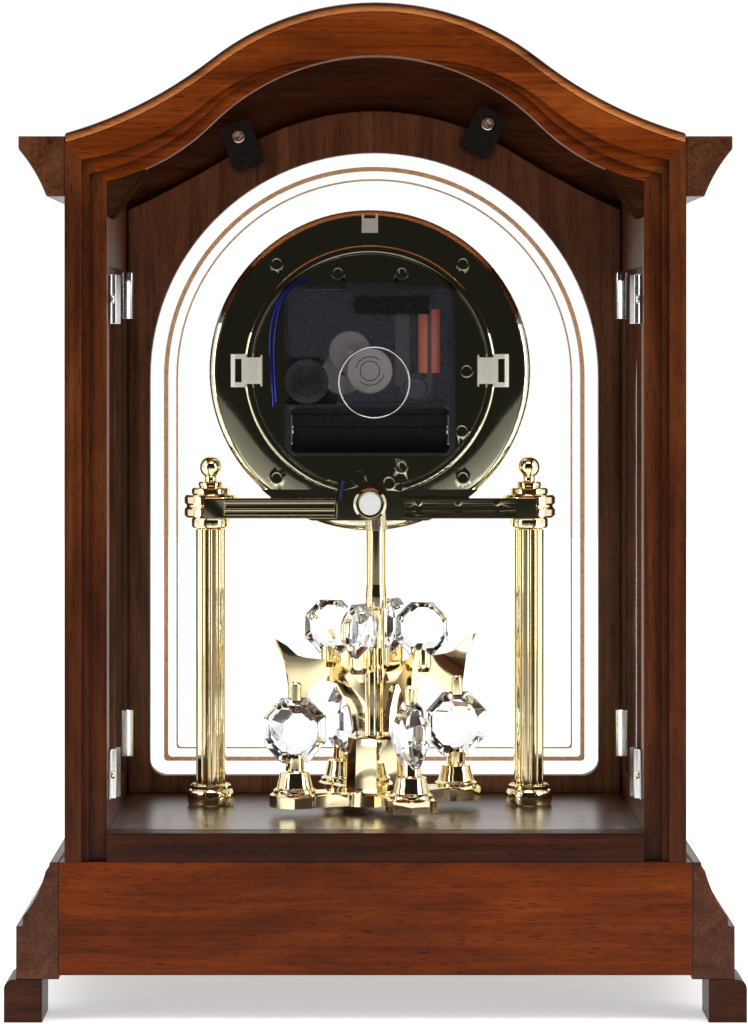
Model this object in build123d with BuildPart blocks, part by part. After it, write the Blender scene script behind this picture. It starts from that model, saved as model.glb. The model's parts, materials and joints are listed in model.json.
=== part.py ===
from build123d import *
import os
from math import atan2, cos, degrees, pi, radians, sin, sqrt

# Arch-topped wooden mantel clock with a revolving crystal pendulum. Millimetres.
# Row frame: +Z up, the clock's front faces -Y, +X is its right as seen from the front.
# The origin is under the middle of the clock, on the surface that it stands on.

os.makedirs("parts", exist_ok=True)

# ---------------------------------------------------------------- case dimensions
REAR = 73.5  # y of the flush rear plane
BODY_FRONT = -54.5  # y of the front frame's face
BODY_HALF = 97.5  # half width of the upright case
INNER_HALF = 84.4  # half width inside, between the side panels
BODY_BOTTOM = 50.3  # where the case stands on its base
FLOOR_TOP = 59.4
REAR_FRAME = 10.0  # thickness of the rear frame
FRONT_FRAME = 14.0
MASK = 4.0  # thickness of the panel that carries the arched window
ROOF = 3.1  # thickness of the bent roof sheet
SIDE_TOP = 275.4

MASK_BACK = BODY_FRONT + FRONT_FRAME + MASK
FRAME_BACK = BODY_FRONT + FRONT_FRAME
SIDE_REAR = REAR - REAR_FRAME

# base
BOARD_HALF = 99.3  # half width of the base's rear board and of its inside
MOULDING_BOTTOM = 13.5
PLINTH_OUT = 15.2  # how far the base moulding stands out from the case
FOOT_OUT = 19.0
FOOT_WIDTH = 12.0
FOOT_LENGTH = 24.0
FOOT_ROUND = 3.0

# window
WINDOW_HALF = 76.5
WINDOW_SPRING = 201.4  # height of the centre of the window's round head
WINDOW_BOTTOM = 65.5
WINDOW_CORNER = 5.5
FRAME_REVEAL = 1.5  # the front frame's opening is this much larger all round
GLASS_LAP = 4.0
FRONT_GLASS = 3.0

# side windows
SIDE_WINDOW_Y = (-16.5, 55.5)
SIDE_WINDOW_Z = (72.0, 234.0)
SIDE_LAP = 3.0
SIDE_GLASS = 2.6
SIDE_REBATE = 1.2

# dial, columns and pendulum
DIAL_X = 1.6  # the dial and its columns stand a little right of the middle
DIAL_Z = 203.9
DIAL_BACK = -2.0  # y of the back plate's rear face
DIAL_RADIUS = 53.5
COLUMN_X = 52.9  # from the dial's axis to a column's axis
COLUMN_Y = -3.1
PENDULUM_X = -0.4
PENDULUM_Y = 13.5
MOVEMENT = 56.0
MOVEMENT_DEPTH = 16.0
MOVEMENT_WALL = 1.2
LOWER_RADIUS = 28.8
LOWER_ANGLES = [23, 113, 203, 293]
LOWER_HEIGHT = 86.9
UPPER_RADIUS = 16.0
UPPER_ANGLES = [69, 159, 249, 339]
UPPER_HEIGHT = 119.5


# ---------------------------------------------------------------- helpers
def save(part, name):
    """Label a finished piece and write its STEP file."""
    part.label = name
    export_step(part, f"parts/{name}.step")


def upright(y):
    """Sketch plane at depth y: sketch x is X and sketch y is Z; extrude goes to the front."""
    return Plane.XZ.offset(-y)


def sideways(x):
    """Sketch plane at X = x: sketch x is Y and sketch y is Z; extrude goes to +X."""
    return Plane.YZ.offset(x)


def lathe_plane(x, y):
    """Plane through a vertical axis: sketch x is the radius and sketch y is Z."""
    return Plane(origin=(x, y, 0), x_dir=(1, 0, 0), z_dir=(0, -1, 0))


def vertical(x, y):
    return Axis((x, y, 0), (0, 0, 1))


def dial_lathe(x=DIAL_X, z=DIAL_Z):
    """Plane through an axis along Y: sketch x is the radius and sketch y is Y."""
    return Plane(origin=(x, 0, z), x_dir=(1, 0, 0), z_dir=(0, 0, 1))


def along_y(x=DIAL_X, z=DIAL_Z):
    return Axis((x, 0, z), (0, 1, 0))


def radial_plane(angle, radius=0.0, height=0.0):
    """Plane that holds the pendulum's axis: sketch x is the radius, sketch y is Z."""
    a = radians(angle)
    origin = (PENDULUM_X + radius * cos(a), PENDULUM_Y + radius * sin(a), height)
    return Plane(origin=origin, x_dir=(cos(a), sin(a), 0), z_dir=(sin(a), -cos(a), 0))


def turned_part(points, plane, axis):
    """Solid of revolution from a closed outline of (radius, height) points."""
    with BuildPart() as part:
        with BuildSketch(plane):
            Polygon(*points, align=None)
        revolve(axis=axis)
    return part.part


class Ogee:
    """A convex crown arc over two concave flank arcs, tangent where they meet."""

    def __init__(self, apex, crown, angle, end_x, end_z):
        a = radians(angle)
        self.apex = apex
        self.crown = crown
        self.angle = angle
        self.turn = (crown * sin(a), apex - crown + crown * cos(a))
        self.end = (end_x, end_z)
        dx = end_x - self.turn[0]
        dz = end_z - self.turn[1]
        self.flank = (dx * dx + dz * dz) / (2 * (dx * sin(a) + dz * cos(a)))
        self.centre = (
            self.turn[0] + self.flank * sin(a),
            self.turn[1] + self.flank * cos(a),
        )

    def height_at(self, x):
        if abs(x) <= self.turn[0]:
            return self.apex - self.crown + sqrt(self.crown**2 - x**2)
        return self.centre[1] - sqrt(self.flank**2 - (abs(x) - self.centre[0]) ** 2)

    def inset(self, gap, end_x=None):
        """The parallel curve that lies a gap below this one."""
        x = self.end[0] if end_x is None else end_x
        z = self.centre[1] - sqrt((self.flank + gap) ** 2 - (x - self.centre[0]) ** 2)
        return Ogee(self.apex - gap, self.crown - gap, self.angle, x, z)

    def under(self, bottom):
        """The region under the curve, down to a level bottom."""
        tx, tz = self.turn
        ex, ez = self.end
        a = radians(self.angle)
        with BuildSketch() as region:
            with BuildLine():
                ThreePointArc((-tx, tz), (0, self.apex), (tx, tz))
                TangentArc((tx, tz), (ex, ez), tangent=(cos(a), -sin(a)))
                TangentArc((-tx, tz), (-ex, ez), tangent=(-cos(a), -sin(a)))
                Polyline((ex, ez), (ex, bottom), (-ex, bottom), (-ex, ez))
            make_face()
        return region.sketch


def window_shape(grow=0.0):
    """The arched window's outline, grown outwards by a margin."""
    half = WINDOW_HALF + grow
    bottom = WINDOW_BOTTOM - grow
    corner = WINDOW_CORNER + grow
    low = bottom + corner
    inner = half - corner
    with BuildSketch() as region:
        with BuildLine():
            ThreePointArc((-half, WINDOW_SPRING), (0, WINDOW_SPRING + half), (half, WINDOW_SPRING))
            Line((half, WINDOW_SPRING), (half, low))
            RadiusArc((half, low), (inner, bottom), corner)
            Line((inner, bottom), (-inner, bottom))
            RadiusArc((-inner, bottom), (-half, low), corner)
            Line((-half, low), (-half, WINDOW_SPRING))
        make_face()
    return region.sketch


ROOF_TOP = Ogee(320.0, 83.3, 38, BODY_HALF, 278.9)
ROOF_UNDER = ROOF_TOP.inset(ROOF)
REAR_LIP = Ogee(303.3, 73.0, 45, INNER_HALF, 264.0)
MASK_TOP = Ogee(292.3, 86.0, 32, INNER_HALF - 0.3, 258.5)

# ---------------------------------------------------------------- base
# Offsets of the base moulding's face from the case, paired with height.
COVE_TOP = (5.9, 47.8)
COVE_MIDDLE = (8.5, 40.5)
COVE_BOTTOM = (13.2, 33.1)
LEDGE_OUT = 4.8
PLINTH_TOP = 30.2


def base_profile(origin, sign, inner):
    """Outline of the base moulding; offsets run out from origin in the sketch's x."""

    def at(offset, z):
        return (origin + sign * offset, z)

    with BuildSketch() as region:
        with BuildLine():
            Polyline(
                at(*COVE_BOTTOM),
                at(COVE_BOTTOM[0], PLINTH_TOP),
                at(PLINTH_OUT, PLINTH_TOP),
                at(PLINTH_OUT, MOULDING_BOTTOM),
                (inner, MOULDING_BOTTOM),
                (inner, BODY_BOTTOM),
                at(LEDGE_OUT, BODY_BOTTOM),
                at(LEDGE_OUT, COVE_TOP[1] + 0.8),
                at(*COVE_TOP),
            )
            ThreePointArc(at(*COVE_TOP), at(*COVE_MIDDLE), at(*COVE_BOTTOM))
        make_face()
    return region.sketch


BASE_WALL_Y = BODY_FRONT - (BOARD_HALF - BODY_HALF)
PLINTH_FRONT = BODY_FRONT - PLINTH_OUT
PLINTH_HALF = BODY_HALF + PLINTH_OUT
FAR = 200.0


def base_moulding(corner_points):
    """One mitred length of the base moulding, kept inside the given plan outline."""
    with BuildPart() as part:
        with BuildSketch(upright(REAR)):
            add(base_profile(BODY_HALF, 1, 0))
            add(base_profile(-BODY_HALF, -1, 0))
        extrude(amount=REAR - PLINTH_FRONT)
        with BuildSketch(sideways(-PLINTH_HALF)):
            add(base_profile(BODY_FRONT, -1, REAR))
        extrude(amount=2 * PLINTH_HALF, mode=Mode.INTERSECT)
        with BuildSketch(Plane.XY):
            Polygon(*corner_points, align=None)
        extrude(amount=FAR, mode=Mode.INTERSECT)
        with BuildSketch(Plane.XY):
            Polygon(
                (-BOARD_HALF, BASE_WALL_Y),
                (BOARD_HALF, BASE_WALL_Y),
                (BOARD_HALF, REAR),
                (-BOARD_HALF, REAR),
                align=None,
            )
        extrude(amount=FAR, mode=Mode.SUBTRACT)
    return part.part


side_plan = [
    (BOARD_HALF, REAR),
    (PLINTH_HALF, REAR),
    (PLINTH_HALF, PLINTH_FRONT),
    (BOARD_HALF, BASE_WALL_Y),
]
front_plan = [
    (BOARD_HALF, BASE_WALL_Y),
    (PLINTH_HALF, PLINTH_FRONT),
    (-PLINTH_HALF, PLINTH_FRONT),
    (-BOARD_HALF, BASE_WALL_Y),
]
save(base_moulding(side_plan), "base_moulding_right")
save(base_moulding([(-x, y) for x, y in side_plan]), "base_moulding_left")
save(base_moulding(front_plan), "base_moulding_front")

with BuildPart() as base_rear_board:
    with BuildSketch(upright(REAR)):
        Polygon(
            (-BOARD_HALF, 14.8),
            (BOARD_HALF, 14.8),
            (BOARD_HALF, BODY_BOTTOM),
            (-BOARD_HALF, BODY_BOTTOM),
            align=None,
        )
    extrude(amount=REAR_FRAME)
save(base_rear_board.part, "base_rear_board")

with BuildPart() as base_top_board:
    with BuildSketch(Plane.XY.offset(BODY_BOTTOM - 8.0)):
        Polygon(
            (-BOARD_HALF, BASE_WALL_Y),
            (BOARD_HALF, BASE_WALL_Y),
            (BOARD_HALF, SIDE_REAR),
            (-BOARD_HALF, SIDE_REAR),
            align=None,
        )
    extrude(amount=8.0)
save(base_top_board.part, "base_top_board")

FOOT_HALF = BODY_HALF + FOOT_OUT
FOOT_FRONT = BODY_FRONT - FOOT_OUT


def foot_profile(outer, inner):
    """End view of a foot: a block whose upper outer edge is rounded."""
    sign = 1 if outer > inner else -1
    shoulder = FOOT_ROUND * (1 - sin(pi / 4))
    with BuildSketch() as region:
        with BuildLine():
            Polyline(
                (outer, MOULDING_BOTTOM - FOOT_ROUND),
                (outer, 0),
                (inner, 0),
                (inner, MOULDING_BOTTOM),
                (outer - sign * FOOT_ROUND, MOULDING_BOTTOM),
            )
            ThreePointArc(
                (outer - sign * FOOT_ROUND, MOULDING_BOTTOM),
                (outer - sign * shoulder, MOULDING_BOTTOM - shoulder),
                (outer, MOULDING_BOTTOM - FOOT_ROUND),
            )
        make_face()
    return region.sketch


def rear_foot(side):
    with BuildPart() as foot:
        with BuildSketch(upright(REAR)):
            add(foot_profile(side * FOOT_HALF, side * (FOOT_HALF - FOOT_WIDTH)))
        extrude(amount=FOOT_LENGTH)
    return foot.part


def front_foot(side):
    """A front foot turns the corner, with a leg along the side and one along the front."""
    with BuildPart() as foot:
        with BuildSketch(upright(FOOT_FRONT + FOOT_LENGTH)):
            add(foot_profile(side * FOOT_HALF, side * (FOOT_HALF - FOOT_LENGTH)))
        extrude(amount=FOOT_LENGTH)
        with BuildSketch(sideways(-FOOT_HALF)):
            add(foot_profile(FOOT_FRONT, FOOT_FRONT + FOOT_LENGTH))
        extrude(amount=2 * FOOT_HALF, mode=Mode.INTERSECT)
        with BuildSketch(Plane.XY):
            Polygon(
                (side * (FOOT_HALF - FOOT_WIDTH), FOOT_FRONT + FOOT_WIDTH),
                (side * (FOOT_HALF - FAR), FOOT_FRONT + FOOT_WIDTH),
                (side * (FOOT_HALF - FAR), FOOT_FRONT + FAR),
                (side * (FOOT_HALF - FOOT_WIDTH), FOOT_FRONT + FAR),
                align=None,
            )
        extrude(amount=FAR, mode=Mode.SUBTRACT)
    return foot.part


with BuildPart() as feet:
    for side in (1, -1):
        add(rear_foot(side))
        add(front_foot(side))
save(feet.part, "feet")

# ---------------------------------------------------------------- case body
with BuildPart() as floor_board:
    with BuildSketch(Plane.XY.offset(BODY_BOTTOM)):
        Polygon(
            (-INNER_HALF, FRAME_BACK),
            (INNER_HALF, FRAME_BACK),
            (INNER_HALF, SIDE_REAR),
            (-INNER_HALF, SIDE_REAR),
            align=None,
        )
    extrude(amount=FLOOR_TOP - BODY_BOTTOM)
save(floor_board.part, "floor_board")

for side, name in ((1, "right"), (-1, "left")):
    inner_face = min(side * INNER_HALF, side * BODY_HALF)
    glass_y = (SIDE_WINDOW_Y[0] - SIDE_LAP, SIDE_WINDOW_Y[1] + SIDE_LAP)
    glass_z = (SIDE_WINDOW_Z[0] - SIDE_LAP, SIDE_WINDOW_Z[1] + SIDE_LAP)
    with BuildPart() as side_panel:
        with BuildSketch(sideways(inner_face)):
            Polygon(
                (FRAME_BACK, BODY_BOTTOM),
                (SIDE_REAR, BODY_BOTTOM),
                (SIDE_REAR, SIDE_TOP),
                (FRAME_BACK, SIDE_TOP),
                align=None,
            )
            with Locations((sum(SIDE_WINDOW_Y) / 2, sum(SIDE_WINDOW_Z) / 2)):
                Rectangle(
                    SIDE_WINDOW_Y[1] - SIDE_WINDOW_Y[0],
                    SIDE_WINDOW_Z[1] - SIDE_WINDOW_Z[0],
                    mode=Mode.SUBTRACT,
                )
        extrude(amount=BODY_HALF - INNER_HALF)
        with BuildSketch(sideways(side * INNER_HALF)):
            with Locations((sum(glass_y) / 2, sum(glass_z) / 2)):
                Rectangle(glass_y[1] - glass_y[0] + 0.4, glass_z[1] - glass_z[0] + 0.4)
        extrude(amount=side * SIDE_REBATE, mode=Mode.SUBTRACT)
    save(side_panel.part, f"side_panel_{name}")

with BuildPart() as side_glass:
    for side in (1, -1):
        with BuildSketch(sideways(side * (INNER_HALF + SIDE_REBATE))):
            with Locations((sum(glass_y) / 2, sum(glass_z) / 2)):
                Rectangle(glass_y[1] - glass_y[0], glass_z[1] - glass_z[0])
        extrude(amount=-side * SIDE_GLASS)
save(side_glass.part, "side_glass")

# Cranked clips hold the side glass: one leg screwed to the panel, one over the glass.
CLIP_THICK = 0.8
CLIP_LONG = 15.6
GLASS_PROUD = SIDE_GLASS - SIDE_REBATE
clip_places = [
    (glass_y[1], 1, 227.0),
    (glass_y[1], 1, 76.5),
    (glass_y[0], -1, 229.0),
    (glass_y[0], -1, 82.0),
]
CLIP_LEG = 3.6
CLIP_SCREW = 2.9  # from the glass's edge to the clip's screw
CLIP_LAP = 4.5

with BuildPart() as side_glass_clips:
    for side in (1, -1):
        wall = side * INNER_HALF
        rise = -side * GLASS_PROUD
        thick = -side * CLIP_THICK
        for edge, outward, z in clip_places:
            with BuildSketch(Plane.XY.offset(z - CLIP_LONG / 2)):
                Polygon(
                    (wall, edge + outward * (CLIP_LEG + 0.6)),
                    (wall, edge + outward * 0.6),
                    (wall + rise, edge + outward * 0.3),
                    (wall + rise, edge - outward * CLIP_LAP),
                    (wall + rise + 1.6 * thick, edge - outward * (CLIP_LAP + 0.5)),
                    (wall + rise + 2.4 * thick, edge - outward * CLIP_LAP),
                    (wall + rise + thick, edge - outward * (CLIP_LAP - 1.2)),
                    (wall + rise + thick, edge + outward * 0.9),
                    (wall + thick, edge + outward * 1.4),
                    (wall + thick, edge + outward * (CLIP_LEG + 0.6)),
                    align=None,
                )
            extrude(amount=CLIP_LONG)
            with BuildSketch(sideways(wall)):
                with Locations((edge + outward * CLIP_SCREW, z)):
                    Circle(0.8)
            extrude(amount=thick, mode=Mode.SUBTRACT)
save(side_glass_clips.part, "side_glass_clips")

# ---------------------------------------------------------------- front frame
FRAME_OPENING = WINDOW_HALF + FRAME_REVEAL


def front_frame_piece(name, points):
    """One stile or rail of the front frame: the arched frame inside the given outline."""
    with BuildPart() as part:
        with BuildSketch(upright(FRAME_BACK)):
            add(ROOF_UNDER.under(BODY_BOTTOM))
            add(window_shape(FRAME_REVEAL), mode=Mode.SUBTRACT)
        extrude(amount=FRONT_FRAME)
        with BuildSketch(upright(FRAME_BACK)):
            add(window_shape(GLASS_LAP + 0.2))
        extrude(amount=FRONT_GLASS + 0.1, mode=Mode.SUBTRACT)
        with BuildSketch(upright(FRAME_BACK)):
            Polygon(*points, align=None)
        extrude(amount=FRONT_FRAME, mode=Mode.INTERSECT)
    save(part.part, name)


stile_plan = [
    (FRAME_OPENING - WINDOW_CORNER - FRAME_REVEAL, BODY_BOTTOM),
    (BODY_HALF, BODY_BOTTOM),
    (BODY_HALF, WINDOW_SPRING),
    (FRAME_OPENING - WINDOW_CORNER - FRAME_REVEAL, WINDOW_SPRING),
]
front_frame_piece("front_stile_right", stile_plan)
front_frame_piece("front_stile_left", [(-x, z) for x, z in stile_plan])
front_frame_piece(
    "front_arch_rail",
    [(-FAR, WINDOW_SPRING), (FAR, WINDOW_SPRING), (FAR, 340), (-FAR, 340)],
)
front_frame_piece(
    "front_bottom_rail",
    [
        (-stile_plan[0][0], BODY_BOTTOM),
        (stile_plan[0][0], BODY_BOTTOM),
        (stile_plan[0][0], WINDOW_SPRING),
        (-stile_plan[0][0], WINDOW_SPRING),
    ],
)

with BuildPart() as front_glass:
    with BuildSketch(upright(FRAME_BACK)):
        add(window_shape(GLASS_LAP))
    extrude(amount=FRONT_GLASS)
save(front_glass.part, "front_glass")

with BuildPart() as mask_panel:
    with BuildSketch(upright(MASK_BACK)):
        add(MASK_TOP.under(FLOOR_TOP))
        add(window_shape(), mode=Mode.SUBTRACT)
    extrude(amount=MASK)
save(mask_panel.part, "mask_panel")

# ---------------------------------------------------------------- rear frame
# The frame's inner side steps down twice towards the opening, to take a back panel.
STEP = 1.6
STEP_OUTER = [(14.0, 302.0), (33.0, 299.3), (55.4, 286.5), (74.0, 275.6), (92.2, 270.6)]
STEP_INNER = [(20.0, 300.5), (38.0, 296.1), (53.2, 285.1), (70.0, 273.2), (90.0, 266.3)]


def step_face(outline, side):
    """Region that is stepped down on one side, from its curved upper edge to the bottom."""
    start, crown, turn, flank, end = [(side * x, z) for x, z in outline]
    with BuildSketch() as region:
        with BuildLine():
            ThreePointArc(start, crown, turn)
            ThreePointArc(turn, flank, end)
            Polyline(end, (end[0], BODY_BOTTOM - 1), (start[0], BODY_BOTTOM - 1), start)
        make_face()
    return region.sketch


def rear_frame_piece(region):
    """The arched rear frame, kept inside the given outline."""
    with BuildPart() as part:
        with BuildSketch(upright(REAR)):
            add(ROOF_UNDER.under(BODY_BOTTOM))
        extrude(amount=REAR_FRAME)
        with BuildSketch(upright(REAR)):
            add(REAR_LIP.under(FLOOR_TOP))
        extrude(amount=REAR_FRAME, mode=Mode.SUBTRACT)
        for depth, outline in ((STEP, STEP_OUTER), (2 * STEP, STEP_INNER)):
            with BuildSketch(upright(REAR)):
                add(step_face(outline, 1))
                add(step_face(outline, -1))
            extrude(amount=depth, mode=Mode.SUBTRACT)
        with BuildSketch(upright(REAR)):
            Polygon(*region, align=None)
        extrude(amount=REAR_FRAME, mode=Mode.INTERSECT)
    return part.part


RAIL_END = ROOF_UNDER.end
stile_region = [
    (INNER_HALF, BODY_BOTTOM),
    (BODY_HALF, BODY_BOTTOM),
    (BODY_HALF, RAIL_END[1]),
    (INNER_HALF, REAR_LIP.end[1]),
]
arch_region = [
    (-INNER_HALF, REAR_LIP.end[1]),
    (-BODY_HALF, RAIL_END[1]),
    (-BODY_HALF, 340),
    (BODY_HALF, 340),
    (BODY_HALF, RAIL_END[1]),
    (INNER_HALF, REAR_LIP.end[1]),
]
save(rear_frame_piece(stile_region), "rear_stile_right")
save(rear_frame_piece([(-x, z) for x, z in stile_region]), "rear_stile_left")
save(rear_frame_piece(arch_region), "rear_arch_rail")

with BuildPart() as rear_bottom_rail:
    with BuildSketch(upright(REAR)):
        with Locations((0, (BODY_BOTTOM + FLOOR_TOP) / 2)):
            Rectangle(2 * INNER_HALF, FLOOR_TOP - BODY_BOTTOM)
    extrude(amount=REAR_FRAME)
save(rear_bottom_rail.part, "rear_bottom_rail")

GUSSET_DEPTH = 31.0
with BuildPart() as corner_blocks:
    for side in (1, -1):
        with BuildSketch(upright(REAR - 2 * STEP)):
            with BuildLine():
                Polyline(
                    (side * 72.5, REAR_LIP.height_at(72.5)),
                    (side * 83.4, 253.4),
                    (side * INNER_HALF, 252.8),
                    (side * INNER_HALF, REAR_LIP.end[1]),
                )
                ThreePointArc(
                    (side * INNER_HALF, REAR_LIP.end[1]),
                    (side * 78.4, REAR_LIP.height_at(78.4)),
                    (side * 72.5, REAR_LIP.height_at(72.5)),
                )
            make_face()
        extrude(amount=GUSSET_DEPTH)
save(corner_blocks.part, "corner_blocks")

# ---------------------------------------------------------------- roof and cornice
with BuildPart() as roof_sheet:
    with BuildSketch(upright(REAR)):
        add(ROOF_TOP.under(BODY_BOTTOM))
    extrude(amount=REAR - BODY_FRONT)
    with BuildSketch(upright(REAR)):
        add(ROOF_UNDER.under(BODY_BOTTOM))
    extrude(amount=REAR - BODY_FRONT, mode=Mode.SUBTRACT)
save(roof_sheet.part, "roof_sheet")

CORNICE_TOP = 278.0
CORNICE_BOTTOM = 259.0
CORNICE_OUT = 14.5
CORNICE_NOSE = (CORNICE_OUT, 273.9)
CORNICE_FOOT = 5.7  # offset of the cove's lower end
CORNICE_RETURN = 17.5  # how far the cornice returns across the front


def cornice_profile(origin, sign, inner):
    """Outline of the cornice: a short upright face over a shallow cove."""

    def at(offset, z):
        return (origin + sign * offset, z)

    with BuildSketch() as region:
        with BuildLine():
            Polyline(
                at(*CORNICE_NOSE),
                at(CORNICE_OUT, CORNICE_TOP),
                (inner, CORNICE_TOP),
                (inner, CORNICE_BOTTOM),
                at(CORNICE_FOOT, CORNICE_BOTTOM),
            )
            ThreePointArc(at(CORNICE_FOOT, CORNICE_BOTTOM), at(9.4, 266.8), at(*CORNICE_NOSE))
        make_face()
    return region.sketch


CORNICE_FRONT = BODY_FRONT - CORNICE_OUT
for side, name in ((1, "right"), (-1, "left")):
    inner_x = side * (BODY_HALF - CORNICE_RETURN)
    with BuildPart() as cornice:
        with BuildSketch(upright(REAR)):
            add(cornice_profile(side * BODY_HALF, side, inner_x))
        extrude(amount=REAR - CORNICE_FRONT)
        with BuildSketch(sideways(-FAR)):
            add(cornice_profile(BODY_FRONT, -1, REAR))
        extrude(amount=2 * FAR, mode=Mode.INTERSECT)
        with BuildSketch(Plane.XY):
            Polygon(
                (side * BODY_HALF, BODY_FRONT),
                (side * (BODY_HALF - FAR), BODY_FRONT),
                (side * (BODY_HALF - FAR), REAR + 1),
                (side * BODY_HALF, REAR + 1),
                align=None,
            )
        extrude(amount=2 * FAR, mode=Mode.SUBTRACT)
    save(cornice.part, f"cornice_{name}")

ARCH_BAND = 13.0
ARCH_PROUD = 9.0
arch_end = BODY_HALF - CORNICE_RETURN
with BuildPart() as front_arch_moulding:
    with BuildSketch(upright(BODY_FRONT)):
        add(ROOF_TOP.under(BODY_BOTTOM))
    extrude(amount=ARCH_PROUD)
    with BuildSketch(upright(BODY_FRONT)):
        add(ROOF_TOP.inset(ARCH_BAND).under(BODY_BOTTOM))
    extrude(amount=ARCH_PROUD, mode=Mode.SUBTRACT)
    with BuildSketch(upright(BODY_FRONT)):
        with Locations((0, 260)):
            Rectangle(2 * arch_end, 200)
    extrude(amount=ARCH_PROUD, mode=Mode.INTERSECT)
    front_edges = front_arch_moulding.faces().sort_by(Axis.Y)[0].edges()
    fillet(front_edges.filter_by(GeomType.CIRCLE).sort_by(Axis.Z)[-1], 3.0)
save(front_arch_moulding.part, "front_arch_moulding")

# ---------------------------------------------------------------- window panel clips
# Turn clips on one screw each, at hand-fitted places: screw x, screw z and tilt.
TURN_CLIPS = {"right": (46.3, 283.3, 21.0), "left": (-38.6, 287.6, -26.0)}
TURN_CLIP_SIZE = (10.8, 16.4)
TURN_CLIP_HEAD = 5.0  # from the clip's upper end to its screw
TURN_CLIP_THICK = 1.8
TURN_GAP = 0.3
SCREW_HEAD = 2.2
for name, (x, z, tilt) in TURN_CLIPS.items():
    lower = Plane(
        origin=(x, MASK_BACK + TURN_GAP, z),
        x_dir=(cos(radians(tilt)), 0, -sin(radians(tilt))),
        z_dir=(0, 1, 0),
    )
    with BuildPart() as turn_clip:
        with BuildSketch(lower):
            with Locations((0, TURN_CLIP_SIZE[1] / 2 - TURN_CLIP_HEAD)):
                RectangleRounded(*TURN_CLIP_SIZE, 1.6)
        extrude(amount=TURN_CLIP_THICK)
        with BuildSketch(lower):
            Circle(2.6)
        extrude(amount=-MASK)
        with BuildSketch(lower):
            Circle(1.4)
        extrude(amount=20, both=True, mode=Mode.SUBTRACT)
    save(turn_clip.part, f"mask_clip_{name}")


def screw_solid(plane, head, shank, length, proud):
    """A pan-head screw: its head stands proud of the plane, its shank goes behind it."""
    with BuildPart() as screw:
        with BuildSketch(plane):
            Circle(head)
        extrude(amount=proud)
        fillet(screw.edges().filter_by(GeomType.CIRCLE).group_by(SortBy.RADIUS)[-1], proud * 0.4)
        with BuildSketch(plane.offset(proud)):
            Rectangle(head * 1.2, head * 0.28)
            Rectangle(head * 0.28, head * 1.2)
        extrude(amount=-proud * 0.6, mode=Mode.SUBTRACT)
        with BuildSketch(plane):
            Circle(shank)
        extrude(amount=-length)
    return screw.part


with BuildPart() as case_screws:
    for x, z, tilt in TURN_CLIPS.values():
        seat = MASK_BACK + 2 * TURN_GAP + TURN_CLIP_THICK
        add(
            screw_solid(
                Plane(origin=(x, seat, z), x_dir=(1, 0, 0), z_dir=(0, 1, 0)),
                SCREW_HEAD,
                1.32,
                seat - FRAME_BACK,
                1.3,
            )
        )
    for side in (1, -1):
        for edge, outward, z in clip_places:
            y = edge + outward * CLIP_SCREW
            seat = side * (INNER_HALF - CLIP_THICK)
            add(
                screw_solid(
                    Plane(origin=(seat, y, z), x_dir=(0, 1, 0), z_dir=(-side, 0, 0)),
                    1.4,
                    0.75,
                    CLIP_THICK,
                    1.1,
                )
            )
save(case_screws.part, "case_screws")

# ---------------------------------------------------------------- dial
DISH_FLAT = 43.0  # radius at which the dish starts to fall away to its rim
DISH_TURN = (51.0, -2.5)  # radius and y where it turns down
DISH_EDGE = -4.9
DISH_FRONT = -8.0
DISH_PLATE = 1.8
RIM = 1.6
PAD_Z = (154.0, 164.3)
RING = (38.8, 41.8)
RING_TOP = -0.9
RING_ROUND = 0.95
POST_PLACES = [
    (31.0, 35.6),
    (-31.0, 35.6),
    (31.0, -35.6),
    (-31.0, -35.6),
    (10.6, 32.4),
    (-10.6, 32.4),
    (-32.2, 0.0),
    (-10.5, -32.0),
    (-30.6, -20.0),
]
post_centres = [(DIAL_X + x, DIAL_Z + z) for x, z in POST_PLACES]

with BuildPart() as raised_ring:
    with BuildSketch(dial_lathe()):
        with BuildLine():
            Polyline(
                (RING[0], RING_TOP - RING_ROUND),
                (RING[0], DIAL_BACK - 0.5),
                (RING[1], DIAL_BACK - 0.5),
                (RING[1], RING_TOP - RING_ROUND),
            )
            TangentArc(
                (RING[1], RING_TOP - RING_ROUND),
                (RING[1] - RING_ROUND, RING_TOP),
                tangent=(0, 1),
            )
            Line((RING[1] - RING_ROUND, RING_TOP), (RING[0] + RING_ROUND, RING_TOP))
            TangentArc(
                (RING[0] + RING_ROUND, RING_TOP),
                (RING[0], RING_TOP - RING_ROUND),
                tangent=(-1, 0),
            )
        make_face()
    revolve(axis=along_y())
    with BuildSketch(upright(1.0)):
        with Locations((DIAL_X, DIAL_Z - RING[1])):
            Rectangle(21.6, 30.0)
    extrude(amount=4.0, mode=Mode.SUBTRACT)

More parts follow.
